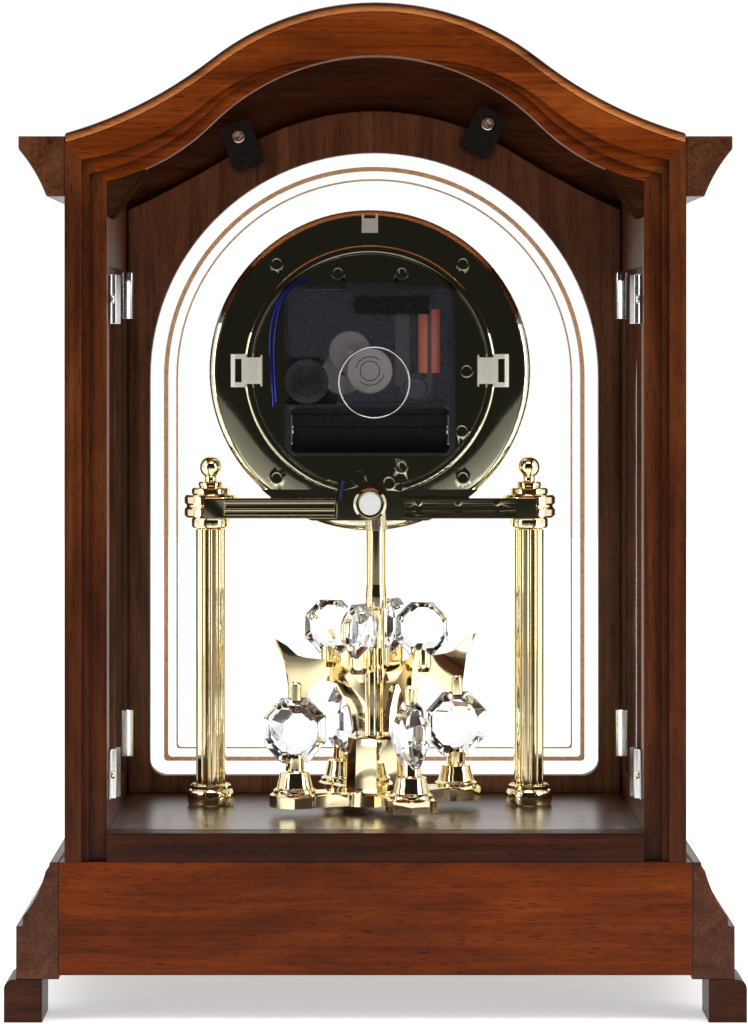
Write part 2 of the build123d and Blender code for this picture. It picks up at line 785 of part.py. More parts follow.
with BuildPart() as dial_back:
    with BuildSketch(dial_lathe()):
        with BuildLine():
            Polyline(
                (DIAL_RADIUS, DISH_EDGE),
                (DIAL_RADIUS, DISH_FRONT),
                (DIAL_RADIUS - RIM, DISH_FRONT),
                (DIAL_RADIUS - RIM, DISH_EDGE - 0.6),
            )
            Line((DIAL_RADIUS - RIM, DISH_EDGE - 0.6), (DISH_FLAT, DIAL_BACK - DISH_PLATE))
            Polyline(
                (DISH_FLAT, DIAL_BACK - DISH_PLATE),
                (4.0, DIAL_BACK - DISH_PLATE),
                (4.0, DIAL_BACK),
                (DISH_FLAT, DIAL_BACK),
            )
            flange = TangentArc((DISH_FLAT, DIAL_BACK), DISH_TURN, tangent=(1, 0))
            TangentArc(DISH_TURN, (DIAL_RADIUS, DISH_EDGE), tangent=flange % 1)
        make_face()
    revolve(axis=along_y())
    with BuildSketch(upright(DIAL_BACK)):
        with Locations((DIAL_X, DIAL_Z)):
            Circle(DIAL_RADIUS)
        with Locations((DIAL_X, (PAD_Z[0] + PAD_Z[1]) / 2)):
            Rectangle(72.0, PAD_Z[1] - PAD_Z[0], mode=Mode.INTERSECT)
    extrude(amount=4.0)
    add(raised_ring.part)
    with BuildSketch(upright(-1.1)):
        with Locations(*post_centres):
            Circle(2.3)
    extrude(amount=2.2)
    with BuildSketch(upright(-1.1)):
        with Locations(*post_centres):
            Circle(1.5)
    extrude(amount=1.7, mode=Mode.SUBTRACT)
    with BuildSketch(upright(-0.8)):
        with Locations((DIAL_X, DIAL_Z + 30.6)):
            Rectangle(14.4, 1.2)
    extrude(amount=1.4)
    with BuildSketch(upright(0.6)):
        with Locations((DIAL_X - 7.2, DIAL_Z + 31.0), (DIAL_X + 7.2, DIAL_Z + 31.0)):
            Rectangle(1.0, 3.6)
    extrude(amount=2.8)
    with BuildSketch(upright(-0.6)):
        with Locations((-4.7, 166.7)):
            Circle(2.6)
            Circle(1.5, mode=Mode.SUBTRACT)
        with Locations((5.1, 167.9)):
            Circle(2.5)
        with Locations((11.6, 169.4)):
            Rectangle(7.8, 2.9)
        with Locations((7.9, 173.2), (-4.4, 173.2)):
            Rectangle(3.8, 3.6)
    extrude(amount=1.6)
save(dial_back.part, "dial_back")

DIAL_FACE = (-8.2, -9.2)
with BuildPart() as dial_face:
    with BuildSketch(upright(DIAL_FACE[0])):
        with Locations((DIAL_X, DIAL_Z)):
            Circle(51.6)
            Circle(4.0, mode=Mode.SUBTRACT)
    extrude(amount=DIAL_FACE[0] - DIAL_FACE[1])
save(dial_face.part, "dial_face")

LENS = (-12.3, -13.7)
bezel_outline = [
    (51.7, DISH_FRONT),
    (53.5, DISH_FRONT),
    (53.5, -11.2),
    (52.7, -13.4),
    (51.4, -14.6),
    (49.2, -14.6),
    (49.2, LENS[1]),
    (51.0, LENS[1]),
    (51.0, LENS[0]),
    (49.8, LENS[0]),
    (49.8, DIAL_FACE[1]),
    (51.7, DIAL_FACE[1]),
]
save(turned_part(bezel_outline, dial_lathe(), along_y()), "bezel")

with BuildPart() as dial_lens:
    with BuildSketch(upright(LENS[0])):
        with Locations((DIAL_X, DIAL_Z)):
            Circle(51.0)
    extrude(amount=LENS[0] - LENS[1])
save(dial_lens.part, "dial_lens")

# Spring clips over the dish's raised ring, and a forked one near its rim at the top.
side_clip_frame = [
    (41.0, RING_TOP),
    (41.0, 0.2),
    (44.8, 0.2),
    (46.2, -0.8),
    (46.2, -1.9),
    (42.2, -1.9),
    (42.2, RING_TOP),
]
side_clip_tongue = [(36.3, RING_TOP), (36.3, 0.3), (41.0, 0.3), (41.0, RING_TOP)]
side_clip_lip = [(35.7, -1.9), (35.7, 1.0), (36.3, 1.0), (36.3, -1.9)]
side_clip_layers = [(side_clip_frame, 11.0), (side_clip_tongue, 8.8), (side_clip_lip, 10.4)]
SIDE_CLIP_SLOT = (43.7, 2.2, 7.8)
top_clip_plate = [
    (45.9, -1.95),
    (45.9, -0.9),
    (50.6, -1.3),
    (50.6, -2.38),
]
top_clip_prong = [
    (45.9, -1.95),
    (45.9, -0.5),
    (52.1, -1.1),
    (52.1, -2.75),
    (51.3, -2.5),
    (50.6, -2.38),
]
top_clip_layers = [(top_clip_plate, 0.0, 4.6), (top_clip_prong, 2.3, 0.8), (top_clip_prong, -2.3, 0.8)]
with BuildPart() as snap_clips:
    for side in (1, -1):
        for outline, height in side_clip_layers:
            with BuildSketch(Plane.XY.offset(DIAL_Z - height / 2)):
                Polygon(*[(DIAL_X + side * r, y) for r, y in outline], align=None)
            extrude(amount=height)
        with BuildSketch(upright(2.0)):
            with Locations((DIAL_X + side * SIDE_CLIP_SLOT[0], DIAL_Z)):
                Rectangle(SIDE_CLIP_SLOT[1], SIDE_CLIP_SLOT[2])
        extrude(amount=6.0, mode=Mode.SUBTRACT)
    for outline, across, width in top_clip_layers:
        with BuildSketch(sideways(DIAL_X + across - width / 2)):
            Polygon(*[(y, DIAL_Z + r) for r, y in outline], align=None)
        extrude(amount=width)
save(snap_clips.part, "snap_clips")

# ---------------------------------------------------------------- movement
MOVEMENT_REAR = DIAL_BACK + MOVEMENT_DEPTH
MOVEMENT_FLOOR = DIAL_BACK + MOVEMENT_WALL
CAVITY = MOVEMENT - 2 * MOVEMENT_WALL
CAVITY_LOW = -11.0  # gear space above, battery bay below, measured from the dial's axis
BAY = (52.0, 15.0)
BAY_CENTRE = -19.5
BAY_FLOOR = -0.5
BAY_RIB = 0.9
BAY_RIB_RISES = (4.3, 0.0, -4.3)
COVER = 1.0
BUSH = (3.9, 2.4, -8.9)
STUD = 0.7
FIT = 0.08  # running clearance of small arbors

minute_at = (0.0, 0.0)
day_direction = -5.6
day_at = (9.0 * cos(radians(day_direction)), 9.0 * sin(radians(day_direction)))
third_direction = 43.0
third_at = (9.0 * cos(radians(third_direction)), 9.0 * sin(radians(third_direction)))
knob_at = (20.82, -3.5)
rotor_at = (-15.0, -6.0)
stator_posts = [(-10.7, 21.7), (-10.9, -0.5)]
KNOB_TRAY = (10.0, 5.2)  # the recess's inner edge and its upper edge
TRAY_FLOOR = 9.6


def on_dial(point):
    return (DIAL_X + point[0], DIAL_Z + point[1])


# The latch over the cover's upper edge: width, lower and upper edge, and how far forward it goes.
latch_layers = [
    ((16.6, 26.2, MOVEMENT / 2), MOVEMENT_REAR),
    ((16.6, MOVEMENT / 2, MOVEMENT / 2 + 0.9), MOVEMENT_REAR - 3.0),
]

with BuildPart() as movement_case:
    with BuildSketch(upright(MOVEMENT_REAR)):
        with Locations((DIAL_X, DIAL_Z)):
            RectangleRounded(MOVEMENT, MOVEMENT, 4.5)
    extrude(amount=MOVEMENT_DEPTH)
    with BuildSketch(upright(MOVEMENT_REAR)):
        with Locations((DIAL_X, DIAL_Z)):
            RectangleRounded(CAVITY, CAVITY, 3.3)
        with Locations(on_dial((0, CAVITY_LOW + MOVEMENT / 2))):
            Rectangle(MOVEMENT, MOVEMENT, mode=Mode.INTERSECT)
    extrude(amount=MOVEMENT_REAR - MOVEMENT_FLOOR, mode=Mode.SUBTRACT)
    with BuildSketch(upright(MOVEMENT_REAR)):
        with Locations(on_dial((0, BAY_CENTRE))):
            RectangleRounded(*BAY, 2.0)
    extrude(amount=MOVEMENT_REAR - BAY_FLOOR, mode=Mode.SUBTRACT)
    with BuildSketch(upright(BAY_FLOOR + BAY_RIB)):
        for rise in BAY_RIB_RISES:
            with Locations(on_dial((0, BAY_CENTRE + rise))):
                Rectangle(BAY[0], 0.9)
    extrude(amount=BAY_RIB)
    for (width, low, high), front in latch_layers:
        with BuildSketch(upright(MOVEMENT_REAR + 0.8)):
            with Locations(on_dial((0, (low + high) / 2))):
                Rectangle(width, high - low)
        extrude(amount=MOVEMENT_REAR + 0.8 - front)
    with BuildSketch(upright(MOVEMENT_REAR)):
        with Locations(on_dial((MOVEMENT / 2, (CAVITY_LOW + KNOB_TRAY[1]) / 2))):
            Rectangle(4.0, KNOB_TRAY[1] - CAVITY_LOW)
    extrude(amount=MOVEMENT_REAR - TRAY_FLOOR, mode=Mode.SUBTRACT)
    with BuildSketch(upright(3.2)):
        with Locations(on_dial(day_at)):
            Circle(STUD)
    extrude(amount=3.2 - MOVEMENT_FLOOR)
    with BuildSketch(upright(7.0)):
        with Locations(*[on_dial(place) for place in stator_posts]):
            Circle(1.2)
    extrude(amount=7.0 - MOVEMENT_FLOOR)
    with BuildSketch(upright(MOVEMENT_FLOOR)):
        with Locations((DIAL_X, DIAL_Z)):
            Circle(BUSH[0])
    extrude(amount=MOVEMENT_FLOOR - BUSH[2])
    with BuildSketch(upright(MOVEMENT_FLOOR)):
        with Locations((DIAL_X, DIAL_Z)):
            Circle(BUSH[1])
    extrude(amount=MOVEMENT_FLOOR - BUSH[2], mode=Mode.SUBTRACT)
save(movement_case.part, "movement_case")

TRAY_WALL = 0.8
TRAY_ROUND = 8.0
tray_height = KNOB_TRAY[1] - CAVITY_LOW
tray_length = CAVITY / 2 - KNOB_TRAY[0]
RING_CENTRE = (-1.4, -3.8)
bearing_bosses = [(third_at, 1.5, 0.5, 11.0), (rotor_at, 1.2, 0.4, 10.0)]


def sketch_corner():
    """The inner upper corner of the rectangle that the active sketch holds."""
    corners = BuildSketch._get_context().vertices()
    return corners.group_by(Axis.X)[0].sort_by(Axis.Y)[-1]


with BuildPart() as movement_cover:
    with BuildSketch(upright(MOVEMENT_REAR)):
        with Locations((DIAL_X, DIAL_Z)):
            RectangleRounded(CAVITY, CAVITY, 3.3)
        with Locations(on_dial((0, CAVITY_LOW + MOVEMENT / 2))):
            Rectangle(MOVEMENT, MOVEMENT, mode=Mode.INTERSECT)
    extrude(amount=COVER)
    tray_centre = (KNOB_TRAY[0] + tray_length / 2, CAVITY_LOW + tray_height / 2)
    with BuildSketch(upright(MOVEMENT_REAR)):
        with Locations(on_dial(tray_centre)):
            Rectangle(tray_length, tray_height)
        fillet(sketch_corner(), TRAY_ROUND)
    extrude(amount=MOVEMENT_REAR - TRAY_FLOOR + COVER)
    with BuildSketch(upright(MOVEMENT_REAR)):
        with Locations(on_dial((tray_centre[0] + TRAY_WALL, tray_centre[1] - TRAY_WALL))):
            Rectangle(tray_length, tray_height)
        fillet(sketch_corner(), TRAY_ROUND - TRAY_WALL)
    extrude(amount=MOVEMENT_REAR - TRAY_FLOOR, mode=Mode.SUBTRACT)
    with BuildSketch(upright(MOVEMENT_REAR)):
        with Locations(on_dial(knob_at)):
            Circle(1.2 + FIT)
    extrude(amount=MOVEMENT_REAR, mode=Mode.SUBTRACT)
    with BuildSketch(upright(MOVEMENT_REAR + 0.35)):
        with Locations(on_dial(RING_CENTRE)):
            Circle(11.9)
            Circle(11.3, mode=Mode.SUBTRACT)
        with Locations(on_dial(minute_at)):
            Circle(3.4)
            Circle(3.0, mode=Mode.SUBTRACT)
        with Locations(on_dial((KNOB_TRAY[0] - MOVEMENT / 2, CAVITY_LOW + MOVEMENT / 2))):
            Rectangle(MOVEMENT, MOVEMENT, mode=Mode.INTERSECT)
    extrude(amount=0.35)
    for place, boss, arbor, start in bearing_bosses:
        with BuildSketch(upright(MOVEMENT_REAR - COVER)):
            with Locations(on_dial(place)):
                Circle(boss)
        extrude(amount=MOVEMENT_REAR - COVER - start)
        with BuildSketch(upright(start + 1.9)):
            with Locations(on_dial(place)):
                Circle(arbor + FIT)
        extrude(amount=1.9, mode=Mode.SUBTRACT)
save(movement_cover.part, "movement_cover")


def gear_outline(centre, teeth, module, tooth):
    """Corner points of a toothed wheel; tooth is the direction of one tooth in degrees."""
    pitch = 360 / teeth
    radius = module * teeth / 2
    corners = (
        (radius - module, -0.24),
        (radius + 0.75 * module, -0.1),
        (radius + 0.75 * module, 0.1),
        (radius - module, 0.24),
    )
    points = []
    for number in range(teeth):
        for r, share in corners:
            a = radians(tooth + pitch * (number + share))
            points.append((centre[0] + r * cos(a), centre[1] + r * sin(a)))
    return points


def meshed(tooth, direction, teeth, mate_teeth):
    """Tooth direction of a mate that lies in the given direction and meshes."""
    return direction + 180 - (tooth - direction) * teeth / mate_teeth + 180 / mate_teeth


def bearing(start, end):
    return degrees(atan2(end[1] - start[1], end[0] - start[0]))


minute_tooth = 0.0
day_tooth = meshed(minute_tooth, day_direction, 12, 48)
hour_tooth = meshed(0.0, day_direction + 180, 10, 30)
knob_tooth = meshed(day_tooth, bearing(day_at, knob_at), 48, 33)
third_tooth = meshed(minute_tooth, third_direction, 60, 12)


def wheel(place, layers, arbors, bore=0.0):
    """Toothed layers (teeth, module, tooth, rear, front) and round parts on one axis."""
    with BuildPart() as part:
        for teeth, module, tooth, rear, front in layers:
            with BuildSketch(upright(rear)):
                Polygon(*gear_outline(on_dial(place), teeth, module, tooth), align=None)
            extrude(amount=rear - front)
        for radius, rear, front in arbors:
            with BuildSketch(upright(rear)):
                with Locations(on_dial(place)):
                    Circle(radius)
            extrude(amount=rear - front)
        if bore:
            with BuildSketch(upright(20.0)):
                with Locations(on_dial(place)):
                    Circle(bore)
            extrude(amount=40.0, mode=Mode.SUBTRACT)
    return part.part


HAND_MINUTE = (-10.9, -11.4)
HAND_HOUR = (-9.8, -10.3)
save(
    wheel(
        minute_at,
        [(12, 0.3, minute_tooth, 3.2, 1.6), (60, 0.25, minute_tooth, 7.8, 7.0)],
        [(1.2, 8.4, HAND_MINUTE[1])],
    ),
    "minute_wheel",
)
save(
    wheel(
        minute_at,
        [(30, 0.45, hour_tooth, 1.2, 0.0)],
        [(2.3, 1.2, HAND_HOUR[1])],
        bore=1.28,
    ),
    "hour_wheel",
)
save(
    wheel(
        day_at,
        [(48, 0.3, day_tooth, 3.0, 1.8), (10, 0.45, 0.0, 1.8, -0.1)],
        [],
        bore=STUD + FIT,
    ),
    "day_wheel",
)
save(
    wheel(
        third_at,
        [(12, 0.25, third_tooth, 8.1, 6.7), (56, 0.25, 0.0, 5.2, 4.4)],
        [(0.5, 12.6, 3.9)],
    ),
    "third_wheel",
)
save(wheel(rotor_at, [], [(3.5, 9.0, 5.0), (0.4, 11.6, 4.2)]), "rotor")

KNOB = 7.3
with BuildPart() as setting_knob:
    add(wheel(knob_at, [(33, 0.3, knob_tooth, 3.0, 1.8)], [(1.2, 10.6, 1.4)]))
    with BuildSketch(upright(13.8)):
        with Locations(on_dial(knob_at)):
            Circle(KNOB)
            with PolarLocations(KNOB + 0.25, 36):
                Circle(0.4, mode=Mode.SUBTRACT)
    extrude(amount=3.3)
    with BuildSketch(upright(13.8)):
        with Locations(on_dial(knob_at)):
            Circle(5.0)
            Circle(1.6, mode=Mode.SUBTRACT)
    extrude(amount=0.6, mode=Mode.SUBTRACT)
save(setting_knob.part, "setting_knob")

COIL_X = -19.6
with BuildPart() as stator:
    with BuildSketch(upright(8.0)):
        with Locations(on_dial((COIL_X, 8.5))):
            Rectangle(2.0, 29.0)
        with Locations(on_dial((-14.5, 21.75))):
            Rectangle(12.2, 2.5)
        with Locations(on_dial((-10.7, 9.0))):
            Rectangle(4.6, 28.0)
        with Locations(on_dial(rotor_at)):
            Circle(4.8)
            Circle(4.1, mode=Mode.SUBTRACT)
    extrude(amount=1.0)
save(stator.part, "stator")

with BuildPart() as coil:
    with BuildSketch(upright(11.0)):
        with Locations(on_dial((COIL_X, 9.8))):
            Rectangle(7.2, 21.0)
    extrude(amount=7.0)
    fillet(coil.edges().filter_by(Axis.Z), 2.0)
    with BuildSketch(upright(8.0)):
        with Locations(on_dial((COIL_X, 9.8))):
            Rectangle(2.0, 30.0)
    extrude(amount=1.0, mode=Mode.SUBTRACT)
save(coil.part, "coil")

with BuildPart() as battery_contacts:
    for side in (1, -1):
        with BuildSketch(sideways(DIAL_X + side * BAY[0] / 2)):
            with Locations((6.5, DIAL_Z + BAY_CENTRE)):
                RectangleRounded(11.0, 10.4, 1.0)
        extrude(amount=-side * 0.4)
        with BuildSketch(sideways(DIAL_X + side * (BAY[0] / 2 - 0.4))):
            with Locations((6.7, DIAL_Z + BAY_CENTRE)):
                Circle(2.6)
        extrude(amount=-side * 0.3)
save(battery_contacts.part, "battery_contacts")


def hand(name, angle, length, tail, width, hole, span):
    """A tapered hand whose angle runs clockwise from twelve, seen from the front."""
    a = radians(angle)

    def at(along, across):
        x = along * sin(a) + across * cos(a)
        z = along * cos(a) - across * sin(a)
        return (DIAL_X + x, DIAL_Z + z)

    outline = [
        at(-tail, -width * 0.3),
        at(length * 0.62, -width * 0.5),
        at(length, -0.2),
        at(length, 0.2),
        at(length * 0.62, width * 0.5),
        at(-tail, width * 0.3),
    ]
    with BuildPart() as part:
        with BuildSketch(upright(span[0])):
            Polygon(*outline, align=None)
            with Locations((DIAL_X, DIAL_Z)):
                Circle(hole + 1.2)
                Circle(hole, mode=Mode.SUBTRACT)
        extrude(amount=span[0] - span[1])
    save(part.part, name)


hand("hour_hand", 305.0, 27.0, 5.0, 4.2, 2.3, HAND_HOUR)
hand("minute_hand", 60.0, 40.0, 9.0, 3.4, 1.2, HAND_MINUTE)
nut_outline = [
    (0.0, HAND_MINUTE[1]),
    (1.9, HAND_MINUTE[1]),
    (1.9, HAND_MINUTE[1] - 0.3),
    (1.3, HAND_MINUTE[1] - 0.6),
    (0.0, HAND_MINUTE[1] - 0.6),
]
save(turned_part(nut_outline, dial_lathe(), along_y()), "hand_nut")

# The first strand lies against the rear of the dish and the second lies over it.
WIRE = 0.4
wire_routes = [
    (1, [(22.0, 234.6), (25.4, 233.2), (28.7, 231.0), (31.8, 226.7), (34.4, 204.1), (33.6, 191.8)]),
    (3.2, [(22.2, 233.6), (25.4, 232.9), (28.75, 230.95), (31.1, 226.2), (33.3, 205.0), (32.6, 193.2)]),
    (1, [(10.4, 167.2), (11.0, 164.0), (11.3, 160.6)]),
]
with BuildPart() as wires:
    for layer, route in wire_routes:
        with BuildLine() as path:
            Spline(*[(x, DIAL_BACK + layer * WIRE, z) for x, z in route])
        with BuildSketch(Plane(origin=path.line @ 0, z_dir=path.line % 0)):
            Circle(WIRE)
        sweep(path=path.line)
save(wires.part, "wires")

# ---------------------------------------------------------------- columns and arms
ARM_Z = (155.0, 161.7)
ARM_REAR = 5.0
ARM_START = 10.8
ARM_END = 55.0
ARM_BLOCK = 48.2
ARM_WALL = 0.9
ARM_RIBS = (157.7, 160.2)
ARM_STUDS = (16.2, 29.3, 42.1)


def arm_span(side, start, end, low, high):
    """Corner points of a level bar between two distances from the dial's axis."""
    return [
        (DIAL_X + side * start, low),
        (DIAL_X + side * end, low),
        (DIAL_X + side * end, high),
        (DIAL_X + side * start, high),
    ]


for side, name in ((1, "right"), (-1, "left")):
    with BuildPart() as arm:
        with BuildSketch(upright(ARM_REAR)):
            Polygon(*arm_span(side, ARM_START, ARM_END, *ARM_Z), align=None)
        extrude(amount=ARM_REAR - DIAL_BACK)
        with BuildSketch(upright(ARM_REAR)):
            low = ARM_Z[0] + ARM_WALL
            high = ARM_Z[1] - ARM_WALL
            Polygon(*arm_span(side, ARM_START + ARM_WALL, ARM_BLOCK, low, high), align=None)
        extrude(amount=ARM_REAR - DIAL_BACK - ARM_WALL, mode=Mode.SUBTRACT)
        for rib in ARM_RIBS:
            with BuildSketch(upright(ARM_REAR - 1.4)):
                Polygon(*arm_span(side, ARM_START, ARM_BLOCK, rib - 0.25, rib + 0.25), align=None)
            extrude(amount=ARM_REAR - 1.4 - DIAL_BACK)
        if side < 0:
            with BuildSketch(upright(ARM_REAR)):
                for distance in ARM_STUDS:
                    with Locations(
                        (DIAL_X + side * distance, 160.4),
                        (DIAL_X + side * distance, 156.4),
                    ):
                        Circle(1.3)
            extrude(amount=ARM_REAR - DIAL_BACK)
    save(arm.part, f"arm_{name}")

COLUMN_TOP = 151.1
column_foot = [
    (0, FLOOR_TOP),
    (7.2, FLOOR_TOP),
    (7.8, 60.4),
    (7.8, 63.4),
    (7.2, 64.4),
    (6.3, 64.4),
    (6.7, 64.9),
    (6.7, 66.0),
    (6.2, 66.5),
    (4.4, 66.5),
    (4.4, COLUMN_TOP),
    (4.9, COLUMN_TOP + 0.6),
    (6.1, COLUMN_TOP + 0.6),
    (6.4, 152.3),
    (6.4, 154.3),
    (6.1, 154.9),
    (5.4, 155.1),
    (8.2, 155.1),
    (8.8, 155.8),
    (8.8, 157.8),
    (8.1, 158.7),
    (8.1, 159.0),
    (8.8, 159.9),
    (8.8, 161.9),
    (8.2, 162.6),
    (6.0, 162.6),
    (6.4, 163.1),
    (6.4, 164.4),
    (6.0, 164.9),
    (3.8, 165.2),
    (4.1, 165.6),
    (4.1, 166.5),
    (3.8, 166.9),
    (2.0, 167.3),
    (2.0, 171.0),
    (0, 171.0),
]
BALL = 3.65
BALL_Z = 171.7
for side, name in ((1, "right"), (-1, "left")):
    x = DIAL_X + side * COLUMN_X
    with BuildPart() as column:
        with BuildSketch(lathe_plane(x, COLUMN_Y)):
            Polygon(*column_foot, align=None)
        revolve(axis=vertical(x, COLUMN_Y))
        with BuildSketch(Plane.XY.offset(66.0)):
            with Locations((x, COLUMN_Y)):
                Circle(5.0)
                with PolarLocations(5.2, 12):
                    Circle(0.8, mode=Mode.SUBTRACT)
        extrude(amount=COLUMN_TOP - 66.0)
        with Locations((x, COLUMN_Y, BALL_Z)):
            Sphere(BALL)
        with BuildSketch(upright(ARM_REAR + 5)):
            Polygon(*arm_span(side, ARM_START, ARM_END, *ARM_Z), align=None)
        extrude(amount=ARM_REAR + 5 - DIAL_BACK, mode=Mode.SUBTRACT)
    save(column.part, f"column_{name}")

# ---------------------------------------------------------------- pendulum hanger
BOSS_Z = 160.3
BOSS = 5.4
BOSS_REAR = 19.0
TUBE = (125.9, 151.6)
PIN = 1.9
boss_outline = [
    (0, DIAL_BACK),
    (BOSS, DIAL_BACK),
    (BOSS, BOSS_REAR - 0.8),
    (BOSS - 0.8, BOSS_REAR),
    (3.7, BOSS_REAR),
    (3.7, BOSS_REAR - 1.0),
    (0, BOSS_REAR - 1.0),
]
with BuildPart() as pendulum_bracket:
    with BuildSketch(dial_lathe(DIAL_X, BOSS_Z)):
        Polygon(*boss_outline, align=None)
    revolve(axis=along_y(DIAL_X, BOSS_Z))
    with BuildSketch(Plane.XY.offset(TUBE[1])):
        with Locations((PENDULUM_X, PENDULUM_Y)):
            RegularPolygon(3.45, 12, major_radius=False)
    extrude(amount=BOSS_Z - TUBE[1])
save(pendulum_bracket.part, "pendulum_bracket")

with BuildPart() as boss_cap:
    with BuildSketch(upright(BOSS_REAR - 0.2)):
        with Locations((DIAL_X, BOSS_Z)):
            Circle(3.6)
    extrude(amount=0.8)
save(boss_cap.part, "boss_cap")

tube_outline = [
    (PIN + 0.1, TUBE[0]),
    (3.2, TUBE[0]),
    (3.6, TUBE[0] + 0.4),
    (3.6, TUBE[0] + 4.0),
    (3.3, TUBE[0] + 8.0),
    (3.3, TUBE[1]),
    (PIN + 0.1, TUBE[1]),
]
pendulum_axis = vertical(PENDULUM_X, PENDULUM_Y)
pendulum_plane = lathe_plane(PENDULUM_X, PENDULUM_Y)
save(turned_part(tube_outline, pendulum_plane, pendulum_axis), "hanger_tube")

# ---------------------------------------------------------------- pendulum
LOWER_APOTHEM = 10.6
UPPER_APOTHEM = 8.8
CRYSTAL_HALF = 4.5
GIRDLE = 1.0
TABLE = 0.55  # share of the crystal's size left for the flat table on each side


def octagon(apothem):
    """Corners of an octagon that has level flats at its top and bottom."""
    corner = apothem / cos(pi / 8)
    return [
        (corner * cos(radians(22.5 + 45 * k)), corner * sin(radians(22.5 + 45 * k)))
        for k in range(8)
    ]


def crystal(angle, radius, height, apothem):
    """A cut crystal: an octagonal girdle that tapers to a flat table on both sides."""
    plane = radial_plane(angle, radius, height)
    with BuildPart() as part:
        with BuildSketch(plane):
            Polygon(*octagon(apothem), align=None)
        extrude(amount=GIRDLE, both=True)
        for side in (1, -1):
            with BuildSketch(plane.offset(side * GIRDLE)):
                Polygon(*octagon(apothem), align=None)
            with BuildSketch(plane.offset(side * CRYSTAL_HALF)):
                Polygon(*octagon(apothem * TABLE), align=None)
            loft()
    return part.part


with BuildPart() as lower_crystals:
    for angle in LOWER_ANGLES:
        add(crystal(angle, LOWER_RADIUS, LOWER_HEIGHT, LOWER_APOTHEM))
save(lower_crystals.part, "lower_crystals")

with BuildPart() as upper_crystals:
    for angle in UPPER_ANGLES:
        add(crystal(angle, UPPER_RADIUS, UPPER_HEIGHT, UPPER_APOTHEM))
save(upper_crystals.part, "upper_crystals")


def pendulum_spot(angle, radius):
    a = radians(angle)
    return (PENDULUM_X + radius * cos(a), PENDULUM_Y + radius * sin(a))


PLATE_Z = (62.0, 66.6)
PEDESTAL_TOP = 84.8
# Height and half width of the eight-sided pedestal.
pedestal_levels = [(PLATE_Z[1], 9.0), (PEDESTAL_TOP - 1.3, 8.5), (PEDESTAL_TOP, 7.5)]
cone_outline = [
    (0, PLATE_Z[1]),
    (7.0, PLATE_Z[1]),
    (7.0, 67.5),
    (5.9, 68.3),
    (4.9, 72.4),
    (4.9, 73.2),
    (3.1, 73.8),
    (2.9, 81.0),
    (0, 81.0),
]
with BuildPart() as pendulum_base:
    with BuildSketch(Plane.XY.offset(PLATE_Z[0])):
        with Locations((PENDULUM_X, PENDULUM_Y)):
            Circle(14.0)
        for angle in LOWER_ANGLES:
            with Locations(pendulum_spot(angle, LOWER_RADIUS)):
                RegularPolygon(7.6, 8, major_radius=False, rotation=angle + 22.5)
            with Locations(pendulum_spot(angle, LOWER_RADIUS / 2)):
                Rectangle(LOWER_RADIUS, 12.0, rotation=angle)
    extrude(amount=PLATE_Z[1] - PLATE_Z[0])
    top_edges = pendulum_base.faces().sort_by(Axis.Z)[-1].outer_wire().edges()
    chamfer(top_edges, 0.8)
    for lower, upper in zip(pedestal_levels, pedestal_levels[1:]):
        for z, half in (lower, upper):
            with BuildSketch(Plane.XY.offset(z)):
                with Locations((PENDULUM_X, PENDULUM_Y)):
                    RegularPolygon(half, 8, major_radius=False, rotation=LOWER_ANGLES[0] - 22.5)
        loft()
    for angle in LOWER_ANGLES:
        x, y = pendulum_spot(angle, LOWER_RADIUS)
        add(turned_part(cone_outline, lathe_plane(x, y), vertical(x, y)))
    add(lower_crystals.part, mode=Mode.SUBTRACT)
save(pendulum_base.part, "pendulum_base")

HUB_TOP = 113.1
SPINDLE_TOP = TUBE[0] - 0.3
PIN_TOP = 148.0
wing_points = [
    (3.0, 85.5),
    (8.1, 85.9),
    (9.6, 93.4),
    (14.2, 101.6),
    (19.5, 103.2),
    (23.7, 100.0),
    (24.6, 97.7),
    (30.1, 97.7),
    (30.8, 100.0),
    (32.2, 109.7),
    (35.8, 116.9),
    (31.9, 114.6),
    (28.3, 111.4),
    (24.8, 110.4),
    (15.9, 109.4),
    (10.6, 106.5),
    (6.4, 101.6),
    (3.0, 101.6),
]
cap_outline = [(0, 96.7), (2.3, 96.7), (2.3, 101.6), (1.7, 102.8), (0, 103.3)]
cup_outline = [(0, 105.5), (2.6, 105.5), (3.2, 107.0), (3.4, 108.2), (3.4, 114.0), (0, 114.0)]
spindle_outline = [
    (0, HUB_TOP - 1),
    (2.9, HUB_TOP - 1),
    (2.9, SPINDLE_TOP - 0.4),
    (2.5, SPINDLE_TOP),
    (PIN, SPINDLE_TOP),
    (PIN, PIN_TOP),
    (0, PIN_TOP),
]
